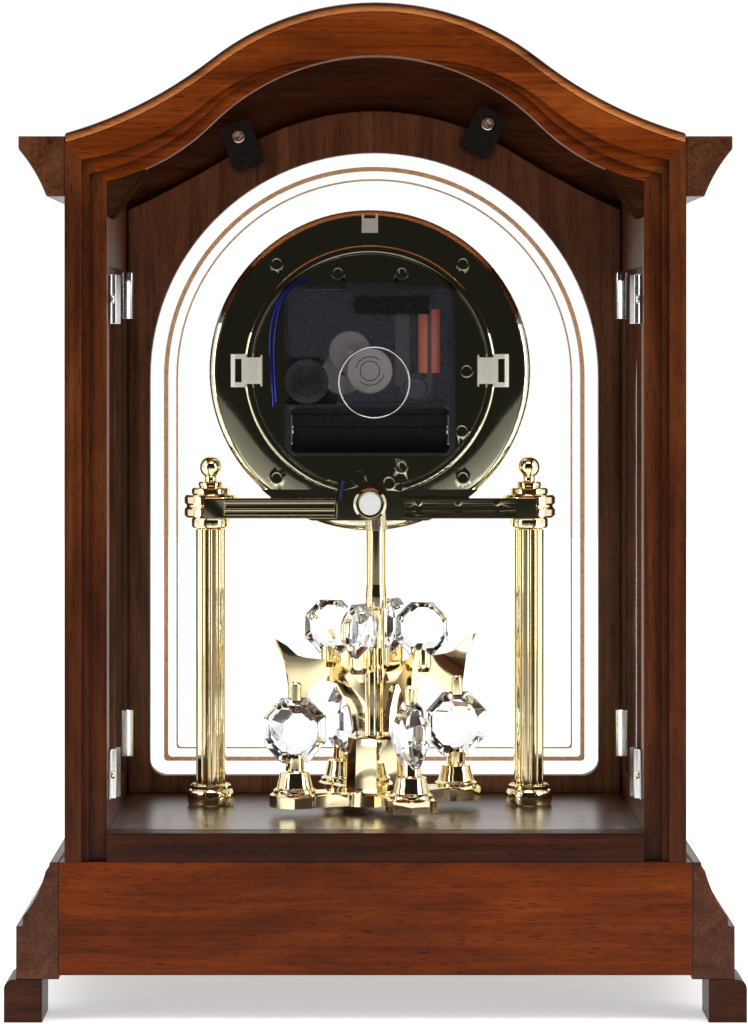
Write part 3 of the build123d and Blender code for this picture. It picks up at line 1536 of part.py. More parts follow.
with BuildPart() as pendulum_hub:
    with BuildSketch(Plane.XY.offset(PEDESTAL_TOP)):
        with Locations((PENDULUM_X, PENDULUM_Y)):
            Circle(4.2)
            with PolarLocations(3.5, 12):
                Circle(1.0)
    extrude(amount=HUB_TOP - PEDESTAL_TOP)
    add(turned_part(spindle_outline, pendulum_plane, pendulum_axis))
    for angle in LOWER_ANGLES:
        with BuildSketch(radial_plane(angle)):
            Polygon(*wing_points, align=None)
        extrude(amount=1.0, both=True)
        x, y = pendulum_spot(angle, LOWER_RADIUS)
        add(turned_part(cap_outline, lathe_plane(x, y), vertical(x, y)))
    for angle in UPPER_ANGLES:
        with BuildSketch(Plane.XY.offset(105.5)):
            with Locations(pendulum_spot(angle, UPPER_RADIUS / 2)):
                Rectangle(UPPER_RADIUS, 3.0, rotation=angle)
        extrude(amount=2.0)
        x, y = pendulum_spot(angle, UPPER_RADIUS)
        add(turned_part(cup_outline, lathe_plane(x, y), vertical(x, y)))
    add(upper_crystals.part, mode=Mode.SUBTRACT)
    add(lower_crystals.part, mode=Mode.SUBTRACT)
save(pendulum_hub.part, "pendulum_hub")
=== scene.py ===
"""Looks of an arch-topped mantel clock with a revolving crystal pendulum, seen from its open rear."""
import json
from math import cos, pi, radians, sin

import bmesh
import bpy
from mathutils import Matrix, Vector


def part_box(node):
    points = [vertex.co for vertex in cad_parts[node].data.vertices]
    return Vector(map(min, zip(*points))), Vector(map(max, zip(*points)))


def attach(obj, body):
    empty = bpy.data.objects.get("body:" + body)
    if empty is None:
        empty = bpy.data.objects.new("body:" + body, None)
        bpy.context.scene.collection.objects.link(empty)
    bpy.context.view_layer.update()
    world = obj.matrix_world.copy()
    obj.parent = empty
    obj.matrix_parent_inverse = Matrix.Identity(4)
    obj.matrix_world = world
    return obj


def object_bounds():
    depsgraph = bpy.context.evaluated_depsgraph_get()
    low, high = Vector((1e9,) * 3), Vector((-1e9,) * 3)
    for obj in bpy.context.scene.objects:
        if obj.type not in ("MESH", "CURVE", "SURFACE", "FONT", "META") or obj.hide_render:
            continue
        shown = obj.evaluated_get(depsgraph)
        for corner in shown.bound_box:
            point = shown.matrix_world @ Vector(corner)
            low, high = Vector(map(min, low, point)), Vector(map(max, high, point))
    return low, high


MM = 0.001
X_AXIS, Y_AXIS, Z_AXIS = 0, 1, 2

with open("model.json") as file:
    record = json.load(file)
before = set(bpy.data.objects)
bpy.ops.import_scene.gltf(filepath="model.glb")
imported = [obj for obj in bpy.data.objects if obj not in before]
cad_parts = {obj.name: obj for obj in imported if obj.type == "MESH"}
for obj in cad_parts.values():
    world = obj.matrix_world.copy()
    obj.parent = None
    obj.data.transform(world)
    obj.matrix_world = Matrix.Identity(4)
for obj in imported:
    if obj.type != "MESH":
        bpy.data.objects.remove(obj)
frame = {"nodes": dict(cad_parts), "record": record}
cad_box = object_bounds()
nodes = frame["nodes"]


# ---------------------------------------------------------------- material tools
class Shader:
    """A material, and short calls that add nodes to it."""

    def __init__(self, name):
        self.material = bpy.data.materials.new(name)
        self.material.use_nodes = True
        self.tree = self.material.node_tree
        self.body = self.tree.nodes["Principled BSDF"]
        self.output = self.tree.nodes["Material Output"]
        self.place = self.add("ShaderNodeTexCoord").outputs["Object"]

    def feed(self, socket, value):
        if isinstance(value, bpy.types.NodeSocket):
            self.tree.links.new(value, socket)
        else:
            socket.default_value = value

    def add(self, kind, inputs=None, **settings):
        node = self.tree.nodes.new(kind)
        for key, value in settings.items():
            setattr(node, key, value)
        for key, value in (inputs or {}).items():
            self.feed(node.inputs[key], value)
        return node

    def set(self, **inputs):
        """Inputs of the Principled shader, with underscores for the spaces in their names."""
        for key, value in inputs.items():
            self.feed(self.body.inputs[key.replace("_", " ")], value)

    def noise(self, scale, detail=3.0, rough=0.55, distortion=0.0):
        """Noise with its own cell size per axis, in cells per metre."""
        inputs = {
            "Vector": self.add("ShaderNodeMapping", {"Vector": self.place, "Scale": scale}).outputs[0],
            "Scale": 1.0,
            "Detail": detail,
            "Roughness": rough,
            "Distortion": distortion,
        }
        return self.add("ShaderNodeTexNoise", inputs).outputs["Fac"]

    def ramp(self, fac, stops, colours):
        node = self.add("ShaderNodeValToRGB", {"Fac": fac})
        elements = node.color_ramp.elements
        while len(elements) < len(stops):
            elements.new(0.5)
        for element, position, colour in zip(elements, stops, colours):
            element.position = position
            element.color = (*colour, 1.0)
        return node.outputs["Color"]

    def span(self, value, low, high, to_low=0.0, to_high=1.0):
        """A value's own range mapped to another one, and clamped to it."""
        inputs = {
            "Value": value,
            "From Min": low,
            "From Max": high,
            "To Min": to_low,
            "To Max": to_high,
        }
        return self.add("ShaderNodeMapRange", inputs).outputs["Result"]

    def mix(self, fac, a, b):
        """Two colours, each a socket or three numbers."""
        node = self.add("ShaderNodeMix", data_type="RGBA")
        for socket, value in ((node.inputs[0], fac), (node.inputs[6], a), (node.inputs[7], b)):
            self.feed(socket, value if isinstance(value, (float, bpy.types.NodeSocket)) else (*value, 1.0))
        return node.outputs[2]

    def math(self, operation, a, b=0.0):
        node = self.add("ShaderNodeMath", operation=operation)
        self.feed(node.inputs[0], a)
        self.feed(node.inputs[1], b)
        return node.outputs[0]

    def outer_gloss(self):
        """Fresnel reflectance of a sheet's outer faces, and none from inside the sheet."""
        edge = self.add("ShaderNodeFresnel", {"IOR": 1.5}).outputs[0]
        inside = self.add("ShaderNodeNewGeometry").outputs["Backfacing"]
        return self.math("MULTIPLY", edge, self.math("SUBTRACT", 1.0, inside))

    def bump(self, height, depth, strength):
        inputs = {"Height": height, "Distance": depth, "Strength": strength}
        normal = self.add("ShaderNodeBump", inputs).outputs["Normal"]
        self.feed(self.body.inputs["Normal"], normal)


def along(axis, with_grain, across):
    """Cells per metre along a grain and across it."""
    return tuple(with_grain if i == axis else across for i in range(3))


FIGURE_STOPS = (0.36, 0.51, 0.67)  # where the dark, middle and light tones stand on the grain


def wood(name, tones, axis, rough=0.36, coat=0.10, coat_rough=0.12, shine=0.1, painted_underside_light=None):
    """Stained wood under lacquer: broad figure, fine streaks and short dark pores.

    Faces that look down take the lighter tones given for them: painted light on the undersides.
    """
    s = Shader(name)
    dark = tones[0]
    figure = s.noise(along(axis, 14.0, 75.0), detail=6.0, rough=0.66, distortion=1.0)
    streaks = s.noise(along(axis, 14.0, 700.0), detail=3.0)
    pores = s.noise(along(axis, 170.0, 2600.0), detail=1.0)
    blotch = s.noise((16.0, 16.0, 16.0), detail=2.0)
    grain = s.math("ADD", s.math("MULTIPLY", figure, 0.68), s.math("MULTIPLY", streaks, 0.32))
    colour = s.ramp(grain, FIGURE_STOPS, tones)
    # Painted light: faces that look down take lighter tones, a painted highlight on the undersides.
    if painted_underside_light:
        up = s.add("ShaderNodeSeparateXYZ", {"Vector": s.add("ShaderNodeNewGeometry").outputs["Normal"]})
        lit_underside = s.ramp(grain, FIGURE_STOPS, painted_underside_light)
        colour = s.mix(s.span(up.outputs["Z"], -0.1, 0.1), lit_underside, colour)
    shade = s.span(blotch, 0.3, 0.7, 0.0, 0.4)
    colour = s.mix(shade, colour, dark)
    pore = s.span(pores, 0.59, 0.70, 0.0, 0.7)
    colour = s.mix(pore, colour, tuple(c * 0.35 for c in dark))
    # Painted shade: the colour darkens towards near black in crevices, corners and joints, where other
    # surfaces stand close by.
    corner = s.add("ShaderNodeAmbientOcclusion", {"Distance": 4.0 * MM}, samples=6).outputs["AO"]
    colour = s.mix(s.span(corner, 0.45, 0.95, 0.55, 0.0), colour, tuple(c * 0.15 for c in dark))
    s.set(Base_Color=colour, Roughness=s.span(streaks, 0.3, 0.7, rough - 0.06, rough + 0.08))
    s.set(Coat_Weight=coat, Coat_Roughness=coat_rough, Coat_IOR=1.5, Specular_IOR_Level=shine)
    s.bump(s.math("SUBTRACT", s.math("MULTIPLY", streaks, 0.5), pore), 0.06 * MM, 0.55)
    return s.material


PLATING_GRAIN = 0.004 * MM


def metal(name, colour, rough, cloud=60.0, brushed=None, tint=0.88, swell=0.0):
    """Polished plating, faintly cloudy, with brush marks along an axis or a cast swell if given."""
    s = Shader(name)
    haze = s.noise((cloud, cloud, cloud), detail=4.0)
    fine = s.noise((1500.0,) * 3 if brushed is None else along(brushed, 30.0, 4000.0), detail=2.0)
    s.set(Base_Color=s.mix(s.span(haze, 0.35, 0.7), colour, tuple(c * tint for c in colour)))
    dull = s.span(haze, 0.3, 0.75, rough * 0.7, rough * 1.25)
    s.set(Metallic=1.0, Roughness=s.math("ADD", dull, s.math("MULTIPLY", fine, rough * 0.3)))
    if swell:
        s.bump(s.noise((42.0,) * 3, detail=0.0), swell, 1.0)
    else:
        s.bump(fine, PLATING_GRAIN, 0.25)
    return s.material


def plastic(name, colour, rough, depth=0.03, spark=900.0, coat=0.0):
    """Moulded plastic with a fine spark-eroded texture, as deep as given in millimetres."""
    s = Shader(name)
    fine = s.noise((spark,) * 3, detail=3.0)
    broad = s.noise((45.0,) * 3, detail=2.0)
    s.set(Base_Color=s.mix(s.span(broad, 0.3, 0.7, 0.0, 0.35), colour, tuple(c * 0.78 for c in colour)))
    s.set(Roughness=s.span(fine, 0.3, 0.7, rough - 0.06, rough + 0.08), Coat_Weight=coat)
    s.bump(fine, depth * MM, 0.35)
    return s.material


def pane(name, tint, gloss):
    """A thin clear sheet: what is behind it shows straight through, with a reflection on top."""
    s = Shader(name)
    clear = s.add("ShaderNodeBsdfTransparent", {"Color": (*tint, 1.0)})
    haze = s.noise((40.0,) * 3, detail=4.0)
    shine = s.add("ShaderNodeBsdfGlossy", {"Roughness": s.span(haze, 0.4, 0.75, 0.02, 0.05)})
    fac = s.math("MULTIPLY", s.outer_gloss(), gloss)
    both = s.add("ShaderNodeMixShader", {0: fac, 1: clear.outputs[0], 2: shine.outputs[0]})
    s.feed(s.output.inputs["Surface"], both.outputs[0])
    return s.material


def smoked(name):
    """A smoke-tinted moulding: clear enough to show the gears, with a faint speckled haze."""
    s = Shader(name)
    clear = s.add("ShaderNodeBsdfTransparent", {"Color": (0.985, 0.985, 0.995, 1.0)})
    speckle = s.noise((2200.0,) * 3, detail=2.0)
    colour = s.mix(s.span(speckle, 0.35, 0.65), (0.042, 0.044, 0.058), (0.20, 0.20, 0.26))
    haze = s.add("ShaderNodeBsdfDiffuse", {"Color": colour})
    dusty = s.add("ShaderNodeMixShader", {0: 0.12, 1: clear.outputs[0], 2: haze.outputs[0]})
    shine = s.add("ShaderNodeBsdfGlossy", {"Roughness": s.span(speckle, 0.3, 0.7, 0.05, 0.12)})
    both = s.add("ShaderNodeMixShader", {0: s.outer_gloss(), 1: dusty.outputs[0], 2: shine.outputs[0]})
    s.feed(s.output.inputs["Surface"], both.outputs[0])
    return s.material


def printed(name, colour):
    """A printed metallic ink line that lets some light through from behind."""
    s = Shader(name)
    fine = s.noise((1200.0,) * 3, detail=2.0)
    tone = s.mix(s.span(fine, 0.35, 0.65), colour, tuple(c * 0.82 for c in colour))
    s.set(Base_Color=tone, Roughness=0.45)
    through = s.add("ShaderNodeBsdfTranslucent", {"Color": tone})
    both = s.add("ShaderNodeMixShader", {0: 0.7, 1: s.body.outputs[0], 2: through.outputs[0]})
    s.feed(s.output.inputs["Surface"], both.outputs[0])
    return s.material


def cut_glass(name):
    """Clear crystal with the faintest cloud in it."""
    s = Shader(name)
    haze = s.noise((120.0,) * 3, detail=2.0)
    s.set(Base_Color=s.mix(haze, (1.0, 1.0, 1.0), (0.955, 0.975, 0.99)))
    s.set(Roughness=0.0, IOR=1.56, Transmission_Weight=1.0)
    return s.material


def winding(name):
    """Enamelled wire wound in level turns, darker where the sleeve crosses the middle."""
    s = Shader(name)
    turns = s.add(
        "ShaderNodeTexWave",
        {"Vector": s.place, "Scale": 1000.0, "Distortion": 0.4, "Detail": 1.0},
        bands_direction="Z",
    ).outputs["Fac"]
    streak = s.noise((500.0, 500.0, 60.0), detail=2.0)
    colour = s.mix(s.span(streak, 0.35, 0.65), (0.66, 0.11, 0.04), (0.74, 0.21, 0.08))
    # Painted shade: the colour darkens in the grooves between the turns.
    colour = s.mix(s.span(turns, 0.0, 0.5, 0.6, 0.0), colour, (0.40, 0.05, 0.015))
    low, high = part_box("coil")
    across = s.add("ShaderNodeSeparateXYZ", {"Vector": s.place}).outputs["X"]
    offset = s.math("ABSOLUTE", s.math("SUBTRACT", across, (low.x + high.x) / 2))
    s.set(Base_Color=s.mix(s.span(offset, 0.5 * MM, 0.8 * MM), (0.02, 0.012, 0.01), colour))
    s.set(Roughness=0.4)
    s.bump(turns, 0.1 * MM, 0.8)
    return s.material


def knurl(name, node, ridges):
    """Black plastic with radial ridges round the middle of a knob that faces along Y."""
    s = Shader(name)
    low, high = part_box(node)
    split = s.add("ShaderNodeSeparateXYZ", {"Vector": s.place})
    x = s.math("SUBTRACT", split.outputs["X"], (low.x + high.x) / 2)
    z = s.math("SUBTRACT", split.outputs["Z"], (low.z + high.z) / 2)
    turn = s.math("MULTIPLY", s.math("ARCTAN2", z, x), float(ridges))
    wave = s.math("SINE", turn)
    fine = s.noise((900.0,) * 3)
    # Painted shade: the colour is darker in the grooves between the ridges and lighter on their tops.
    s.set(Base_Color=s.mix(s.span(wave, -0.4, 0.6), (0.005, 0.005, 0.006), (0.022, 0.022, 0.024)))
    s.set(Roughness=s.span(fine, 0.3, 0.7, 0.34, 0.48), Specular_IOR_Level=0.3)
    s.bump(wave, 0.3 * MM, 0.7)
    return s.material


# Dark, middle and light tone of each stained wood.
REAR_TONES = ((0.060, 0.010, 0.001), (0.165, 0.030, 0.003), (0.29, 0.062, 0.008))
BASE_TONES = ((0.055, 0.009, 0.0005), (0.125, 0.020, 0.001), (0.195, 0.037, 0.002))
STILE_TONES = ((0.034, 0.008, 0.002), (0.082, 0.020, 0.005), (0.130, 0.036, 0.009))
LOW_RAIL_TONES = ((0.017, 0.004, 0.001), (0.038, 0.009, 0.003), (0.062, 0.017, 0.005))
SIDE_TONES = ((0.030, 0.009, 0.004), (0.080, 0.025, 0.010), (0.130, 0.045, 0.018))
INNER_TONES = ((0.030, 0.006, 0.001), (0.078, 0.018, 0.003), (0.130, 0.034, 0.006))
MASK_TONES = ((0.070, 0.026, 0.012), (0.180, 0.070, 0.030), (0.290, 0.120, 0.055))
ROOF_TONES = ((0.018, 0.005, 0.002), (0.050, 0.014, 0.005), (0.085, 0.026, 0.009))
# Roof tones for faces that look down: painted light that brightens the undersides.
ROOF_UNDERSIDE_LIGHT_TONES = ((0.300, 0.085, 0.018), (0.600, 0.190, 0.048), (0.760, 0.270, 0.080))
FOOT_TONES = ((0.016, 0.004, 0.001), (0.046, 0.011, 0.003), (0.075, 0.020, 0.006))
CORNER_TONES = ((0.010, 0.004, 0.002), (0.028, 0.010, 0.004), (0.046, 0.017, 0.007))
FLOOR_TONES = ((0.026, 0.009, 0.003), (0.064, 0.022, 0.007), (0.110, 0.040, 0.013))

looks = {
    "rear_wood": wood("rear_wood", REAR_TONES, X_AXIS, coat=0.03),
    "rear_wood_z": wood("rear_wood_z", STILE_TONES, Z_AXIS, coat=0.05),
    "rear_wood_low": wood("rear_wood_low", LOW_RAIL_TONES, X_AXIS, coat=0.05),
    "side_wood_x": wood("side_wood_x", SIDE_TONES, X_AXIS),
    "side_wood_y": wood("side_wood_y", SIDE_TONES, Y_AXIS),
    "side_wood_z": wood("side_wood_z", SIDE_TONES, Z_AXIS),
    "inner_wood": wood("inner_wood", INNER_TONES, Z_AXIS, rough=0.42, coat_rough=0.2),
    "inner_wood_x": wood("inner_wood_x", INNER_TONES, X_AXIS, rough=0.5, coat=0.0),
    "base_wood": wood("base_wood", BASE_TONES, X_AXIS, coat=0.03),
    "corner_wood": wood("corner_wood", CORNER_TONES, X_AXIS, rough=0.5, coat=0.0, shine=0.0),
    "mask_wood": wood("mask_wood", MASK_TONES, Z_AXIS, rough=0.42, coat=0.3, coat_rough=0.3),
    "roof_wood": wood("roof_wood", ROOF_TONES, X_AXIS, rough=0.25, coat=0.6, painted_underside_light=ROOF_UNDERSIDE_LIGHT_TONES),
    "foot_wood": wood("foot_wood", FOOT_TONES, X_AXIS, coat=0.05),
    "floor_wood": wood("floor_wood", FLOOR_TONES, X_AXIS, rough=0.38, coat=0.9, coat_rough=0.26),
    "clear_glass": pane("clear_glass", (0.985, 0.99, 0.988), 0.9),
    "crystal": cut_glass("crystal"),
    "clip_steel": metal("clip_steel", (0.80, 0.80, 0.80), 0.14),
    "screw_steel": metal("screw_steel", (0.86, 0.85, 0.82), 0.22, cloud=300.0),
    "black_plastic": plastic("black_plastic", (0.012, 0.012, 0.014), 0.30),
    "gilt": metal("gilt", (0.95, 0.81, 0.50), 0.05, tint=0.94),
    "gilt_cast": metal("gilt_cast", (0.95, 0.81, 0.50), 0.05, tint=0.94, swell=3.5 * MM),
    "gilt_dark": metal("gilt_dark", (0.72, 0.68, 0.50), 0.05, cloud=45.0),
    "gilt_arm": metal("gilt_arm", (0.72, 0.64, 0.42), 0.05, cloud=45.0),
    "ivory": plastic("ivory", (0.80, 0.77, 0.66), 0.24, coat=0.5),
    "dial_card": plastic("dial_card", (0.88, 0.87, 0.82), 0.35),
    "smoke": smoked("smoke"),
    "gear_plastic": plastic("gear_plastic", (0.47, 0.41, 0.38), 0.4),
    "gear_white": plastic("gear_white", (0.34, 0.30, 0.28), 0.4),
    "copper": winding("copper"),
    "iron": metal("iron", (0.11, 0.11, 0.09), 0.5, brushed=X_AXIS),
    "contact": metal("contact", (0.62, 0.61, 0.58), 0.25, brushed=Z_AXIS),
    "knob": knurl("knob", "setting_knob", 40),
    "hand_black": plastic("hand_black", (0.010, 0.010, 0.011), 0.25, coat=0.5),
    "cap_white": plastic("cap_white", (0.80, 0.80, 0.78), 0.3, depth=0.05, spark=1500.0, coat=0.3),
    "magnet": plastic("magnet", (0.05, 0.05, 0.055), 0.45),
    "silver": metal("silver", (0.88, 0.88, 0.87), 0.10),
    "wire": plastic("wire", (0.012, 0.025, 0.36), 0.35, depth=0.01),
    "print_gold": printed("print_gold", (0.88, 0.66, 0.48)),
    "label": plastic("label", (0.004, 0.004, 0.005), 0.28, depth=0.004),
}
# Nodes whose look is finer than the one of their slot.
own_look = {
    "rear_wood_z": ["rear_stile_right", "rear_stile_left"],
    "side_wood_y": ["base_moulding_right", "base_moulding_left", "cornice_right", "cornice_left"],
    "side_wood_x": ["base_moulding_front", "front_arch_rail", "front_bottom_rail", "front_arch_moulding"],
    "side_wood_z": ["front_stile_right", "front_stile_left"],
    "rear_wood_low": ["rear_bottom_rail"],
    "inner_wood_x": ["base_top_board"],
    "corner_wood": ["corner_blocks"],
    "base_wood": ["base_rear_board"],
    "gilt_cast": ["pendulum_base", "pendulum_hub"],
    "mask_wood": ["mask_panel"],
    "cap_white": ["boss_cap"],
    "gilt_arm": ["arm_right", "arm_left", "pendulum_bracket"],
    "knob": ["setting_knob"],
}
look_of = {entry["node"]: entry["material_slot"] for entry in frame["record"]["subparts"]}
for key, members in own_look.items():
    for name in members:
        look_of[name] = key
for name, obj in nodes.items():
    obj.data.materials.clear()
    obj.data.materials.append(looks[look_of[name]])


# ---------------------------------------------------------------- soft edges on the CAD nodes
def smoothing_group(limit):
    """Geometry nodes that shade the mesh smooth and mark its edges sharp beyond a crease angle."""
    tree = bpy.data.node_groups.new("crease_shading", "GeometryNodeTree")
    tree.interface.new_socket("Geometry", in_out="INPUT", socket_type="NodeSocketGeometry")
    tree.interface.new_socket("Geometry", in_out="OUTPUT", socket_type="NodeSocketGeometry")
    start = tree.nodes.new("NodeGroupInput")
    end = tree.nodes.new("NodeGroupOutput")
    smooth = tree.nodes.new("GeometryNodeSetShadeSmooth")
    angle = tree.nodes.new("GeometryNodeInputMeshEdgeAngle")
    crease = tree.nodes.new("FunctionNodeCompare")
    crease.operation = "GREATER_THAN"
    crease.inputs[1].default_value = limit
    store = tree.nodes.new("GeometryNodeStoreNamedAttribute")
    store.data_type = "BOOLEAN"
    store.domain = "EDGE"
    store.inputs["Name"].default_value = "sharp_edge"
    links = tree.links
    links.new(start.outputs[0], smooth.inputs["Geometry"])
    links.new(smooth.outputs[0], store.inputs["Geometry"])
    links.new(angle.outputs["Unsigned Angle"], crease.inputs[0])
    links.new(crease.outputs[0], store.inputs["Value"])
    links.new(store.outputs[0], end.inputs[0])
    return tree


CREASE = smoothing_group(radians(32))
# Bevel widths in millimetres, and the width that every other node has.
SOFT_EDGE = {
    "rear_stile_right": 0.9,
    "rear_stile_left": 0.9,
    "rear_arch_rail": 0.6,
    "rear_bottom_rail": 0.5,
    "base_rear_board": 0.5,
    "base_moulding_right": 0.6,
    "base_moulding_left": 0.6,
    "base_moulding_front": 0.6,
    "feet": 0.7,
    "cornice_right": 0.6,
    "cornice_left": 0.6,
    "roof_sheet": 0.7,
    "mask_panel": 0.5,
    "front_glass": 0.0,
    "side_glass": 0.0,
    "floor_board": 0.4,
    "mask_clip_right": 0.35,
    "mask_clip_left": 0.35,
    "movement_case": 0.35,
    "dial_back": 0.3,
    "arm_right": 0.25,
    "arm_left": 0.25,
    "column_right": 0.3,
    "column_left": 0.3,
    "pendulum_hub": 0.3,
    "pendulum_base": 0.3,
    "pendulum_bracket": 0.3,
    "hanger_tube": 0.25,
    "lower_crystals": 0.06,
    "upper_crystals": 0.06,
    "dial_lens": 0.0,
    "front_arch_moulding": 0.4,
}
USUAL_EDGE = 0.15


def soften(obj, width):
    """Weld the tessellation, round its edges by width millimetres and shade it smooth."""
    mesh = obj.data
    if "custom_normal" in mesh.attributes:
        mesh.attributes.remove(mesh.attributes["custom_normal"])
    for face in mesh.polygons:
        face.use_smooth = True
    weld = obj.modifiers.new("weld", "WELD")
    weld.merge_threshold = 0.002 * MM
    if width:
        bevel = obj.modifiers.new("edge", "BEVEL")
        bevel.width = width * MM
        bevel.segments = 2
        bevel.limit_method = "ANGLE"
        bevel.angle_limit = radians(38)
        bevel.use_clamp_overlap = True
    shade = obj.modifiers.new("shade", "NODES")
    shade.node_group = CREASE
    flat = obj.modifiers.new("flat", "WEIGHTED_NORMAL")
    flat.mode = "FACE_AREA"
    flat.weight = 60
    flat.keep_sharp = True


for name, obj in nodes.items():
    soften(obj, SOFT_EDGE.get(name, USUAL_EDGE))


# ---------------------------------------------------------------- pieces
def piece(name, verts, faces, look, body, smooth=False):
    """A mesh given in millimetres that rides on a CAD body."""
    mesh = bpy.data.meshes.new(name)
    mesh.from_pydata([Vector(v) * MM for v in verts], [], faces)
    mesh.materials.append(looks[look])
    obj = bpy.data.objects.new(name, mesh)
    bpy.context.collection.objects.link(obj)
    fix = bmesh.new()
    fix.from_mesh(mesh)
    bmesh.ops.recalc_face_normals(fix, faces=fix.faces)
    fix.to_mesh(mesh)
    fix.free()
    for face in mesh.polygons:
        face.use_smooth = smooth
    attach(obj, body)
    return obj


def box_mm(node):
    low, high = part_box(node)
    return low / MM, high / MM


def slab(name, corners, near, far, look):
    """A flat four-cornered piece between two depths; the corners are (x, z)."""
    verts = [(x, y, z) for y in (near, far) for x, z in corners]
    faces = [(0, 1, 2, 3), (4, 5, 6, 7)]
    faces += [(i, (i + 1) % 4, (i + 1) % 4 + 4, i + 4) for i in range(4)]
    return piece(name, verts, faces, look, "case")


def dial_centre():
    low, high = box_mm("dial_face")
    return (low.x + high.x) / 2, (low.z + high.z) / 2


GLASS_LAP = 4.0  # how far the front glass runs past the window all round
WINDOW_CORNER = 5.5
LEAST_CORNER = 1.2
HEAD_STEPS = 64
CORNER_STEPS = 8


def window_outline(inset):
    """Points (x, z) of the arched window, inset all round, in millimetres."""
    low, high = box_mm("front_glass")
    half = (high.x - low.x) / 2 - GLASS_LAP - inset
    bottom = low.z + GLASS_LAP + inset
    spring = high.z - (high.x - low.x) / 2
    corner = max(WINDOW_CORNER - inset, LEAST_CORNER)
    points = []
    for i in range(HEAD_STEPS + 1):
        a = pi * i / HEAD_STEPS
        points.append((half * cos(a), spring + half * sin(a)))
    for side, start in ((-1, pi), (1, 1.5 * pi)):
        x, z = side * (half - corner), bottom + corner
        for i in range(CORNER_STEPS + 1):
            a = start + pi / 2 * i / CORNER_STEPS
            points.append((x + corner * cos(a), z + corner * sin(a)))
    return points


def border(name, inset, width):
    """A printed line on the rear of the front glass, as a closed flat band."""
    outer, inner = window_outline(inset), window_outline(inset + width)
    rear = box_mm("front_glass")[1].y
    verts, faces = [], []
    count = len(outer)
    for y in (rear + 0.01, rear + 0.07):
        for ring in (outer, inner):
            verts += [(x, y, z) for x, z in ring]
    for i in range(count):
        j = (i + 1) % count
        for a, b in ((0, 1), (1, 3), (3, 2), (2, 0)):
            faces.append((a * count + i, a * count + j, b * count + j, b * count + i))
    return piece(name, verts, faces, "print_gold", "case")


border("glass_border_outer", 4.5, 1.5)
border("glass_border_inner", 8.7, 0.6)


MARK_REACH = 45.0  # from the dial's centre to the outer end of an hour mark
MARK_HEIGHT = 0.35
QUARTER_MARK = (6.5, 1.1)  # length and half width
HOUR_MARK = (4.5, 0.7)


def hour_marks():
    """Twelve raised batons on the front of the dial."""
    x, z = dial_centre()
    front = box_mm("dial_face")[0].y
    for hour in range(12):
        a = radians(30 * hour)
        length, half = QUARTER_MARK if hour % 3 == 0 else HOUR_MARK
        inner = MARK_REACH - length
        ends = [(inner, -half), (MARK_REACH, -half), (MARK_REACH, half), (inner, half)]
        corners = [(x + r * sin(a) + t * cos(a), z + r * cos(a) - t * sin(a)) for r, t in ends]
        slab(f"hour_mark_{hour:02d}", corners, front, front - MARK_HEIGHT, "gilt")


hour_marks()


def loop(name, centre, radius, wire, look, start=0.0, sweep=360.0):
    """A round wire bent to an arc on the rear of the movement's cover."""
    rear = box_mm("movement_cover")[1].y
    closed = sweep == 360.0
    steps = round(sweep / 4)
    sides = 8
    rings = steps if closed else steps + 1
    verts, faces = [], []
    for i in range(rings):
        a = radians(start + sweep * i / steps)
        for j in range(sides):
            b = 2 * pi * j / sides
            r = radius + wire * cos(b)
            verts.append((centre[0] + r * cos(a), rear + wire * sin(b), centre[1] + r * sin(a)))
    for i in range(steps):
        for j in range(sides):
            k, m = (i + 1) % rings, (j + 1) % sides
            faces.append((i * sides + j, i * sides + m, k * sides + m, k * sides + j))
    if not closed:
        faces.append(tuple(range(sides)))
        faces.append(tuple(steps * sides + j for j in range(sides)))
    return piece(name, verts, faces, look, "case", smooth=True)


BUSH_WIRE = 0.16
LABEL_WIDTH = 24.6
LABEL_HEIGHT = 5.9
COVER_RIB = 0.35  # how far the cover's ribs stand out behind its flat face


def cover_marks():
    """The bright ring, the dark rings and the blank label on the movement's cover."""
    x, z = dial_centre()
    loop("cover_ring", (x - 1.4, z - 3.8), 11.6, 0.26, "silver")
    loop("bush_ring", (x, z), 3.2, BUSH_WIRE, "label")
    for name, start in (("bush_arc_upper", 10.0), ("bush_arc_lower", 195.0)):
        loop(name, (x, z), 4.7, BUSH_WIRE, "label", start, 120.0)
    low_x, top = x - 19.5, z + 24.5
    high_x, foot = low_x + LABEL_WIDTH, top - LABEL_HEIGHT
    corners = ((low_x, top), (high_x, top), (high_x, foot), (low_x, foot))
    face = box_mm("movement_cover")[1].y - COVER_RIB
    slab("blank_label", corners, face + 0.01, face + 0.12, "label")


cover_marks()


# ---------------------------------------------------------------- stage, light and camera
FLOOR_REACH = 3.0
FLOOR_FADE = (0.20, 0.80)  # from the middle of the clock towards its open side


def stage_floor():
    """A pale floor, which fades to grey at a distance from the clock's open side."""
    mesh = bpy.data.meshes.new("floor")
    corners = [(FLOOR_REACH * x, FLOOR_REACH * y, 0) for x, y in ((-1, -1), (1, -1), (1, 1), (-1, 1))]
    mesh.from_pydata(corners, [], [(0, 1, 2, 3)])
    s = Shader("studio_floor")
    outward = s.add("ShaderNodeSeparateXYZ", {"Vector": s.place}).outputs["Y"]
    grey = s.mix(s.span(outward, *FLOOR_FADE), (0.93, 0.93, 0.93), (0.26, 0.26, 0.25))
    glow = s.span(outward, *FLOOR_FADE, 0.5, 0.0)
    s.set(Base_Color=grey, Roughness=0.6, Emission_Color=(1.0, 1.0, 1.0, 1.0), Emission_Strength=glow)
    mesh.materials.append(s.material)
    obj = bpy.data.objects.new("floor", mesh)
    bpy.context.collection.objects.link(obj)


CLOCK_MIDDLE = Vector((0.0, 0.05, 0.17))


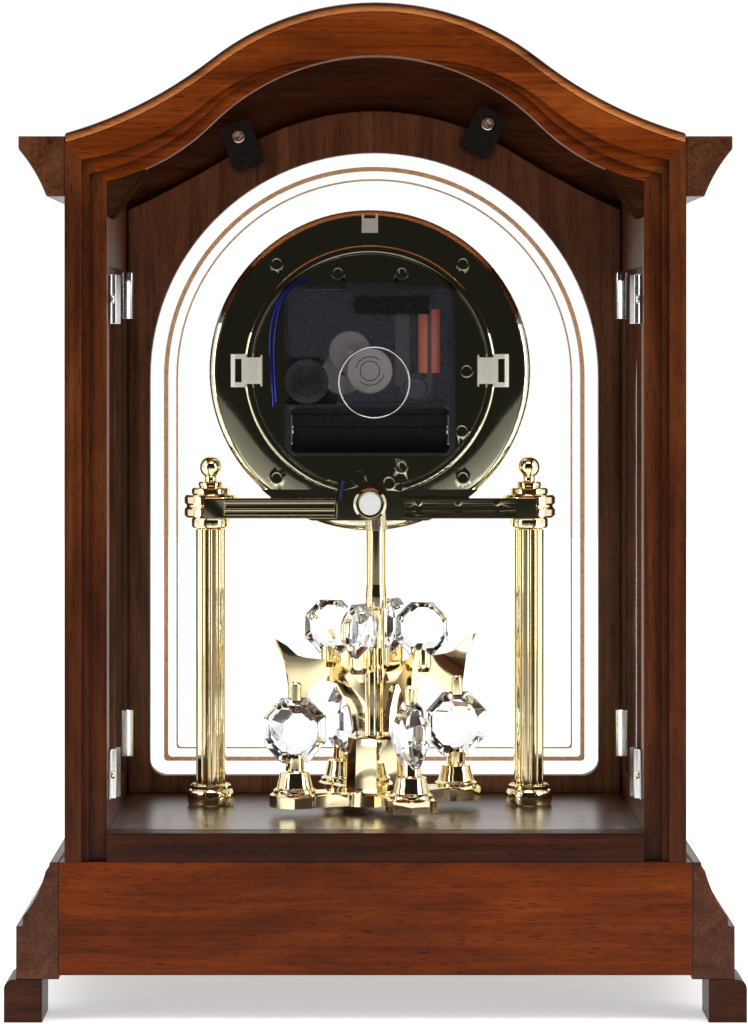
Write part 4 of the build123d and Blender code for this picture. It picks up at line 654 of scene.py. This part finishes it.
def studio_world():
    """White all round, except for a dim room on the clock's open side that polished metal reflects."""
    world = bpy.data.worlds.new("studio")
    bpy.context.scene.world = world
    world.use_nodes = True
    tree = world.node_tree
    sky = tree.nodes["Background"]
    place = tree.nodes.new("ShaderNodeTexCoord")
    split = tree.nodes.new("ShaderNodeSeparateXYZ")
    ramp = tree.nodes.new("ShaderNodeValToRGB")
    span = tree.nodes.new("ShaderNodeMapRange")
    span.inputs["From Min"].default_value = 0.05
    span.inputs["From Max"].default_value = 0.78
    ramp.color_ramp.interpolation = "EASE"
    ramp.color_ramp.elements[0].color = (1.06, 1.06, 1.06, 1.0)
    ramp.color_ramp.elements[1].color = (0.016, 0.016, 0.014, 1.0)
    tree.links.new(place.outputs["Generated"], split.inputs[0])
    tree.links.new(split.outputs["Y"], span.inputs["Value"])
    tree.links.new(span.outputs["Result"], ramp.inputs["Fac"])
    tree.links.new(ramp.outputs["Color"], sky.inputs["Color"])
    sky.inputs["Strength"].default_value = 1.0


def softbox(name, place, size, power):
    """A rectangular light that faces the middle of the clock."""
    light = bpy.data.lights.new(name, "AREA")
    light.shape = "RECTANGLE"
    light.size, light.size_y = size
    light.energy = power
    obj = bpy.data.objects.new(name, light)
    bpy.context.collection.objects.link(obj)
    obj.location = place
    obj.rotation_euler = (CLOCK_MIDDLE - Vector(place)).to_track_quat("-Z", "Y").to_euler()


CAMERA_SIDE = 0.0042
CAMERA_DISTANCE = 1.236  # behind the clock's rear face
CAMERA_HEIGHT = 0.2134


def rear_camera():
    """A level camera that looks into the clock's open rear."""
    data = bpy.data.cameras.new("camera")
    data.lens = 138.6
    data.sensor_width = 36.0
    data.shift_x = 0.0117
    data.shift_y = -0.166
    camera = bpy.data.objects.new("camera", data)
    bpy.context.collection.objects.link(camera)
    camera.location = (CAMERA_SIDE, cad_box[1].y + CAMERA_DISTANCE, CAMERA_HEIGHT)
    camera.rotation_euler = (radians(90), 0.0, radians(180))
    bpy.context.scene.camera = camera


stage_floor()
studio_world()
softbox("softbox_left", (-1.15, 0.72, 0.45), (0.6, 1.2), 11.0)
softbox("softbox_right", (1.15, 0.72, 0.45), (0.6, 1.2), 8.0)
softbox("softbox_top", (0.0, 0.75, 1.30), (0.9, 0.5), 7.0)
rear_camera()
bpy.context.scene.view_settings.view_transform = "Standard"
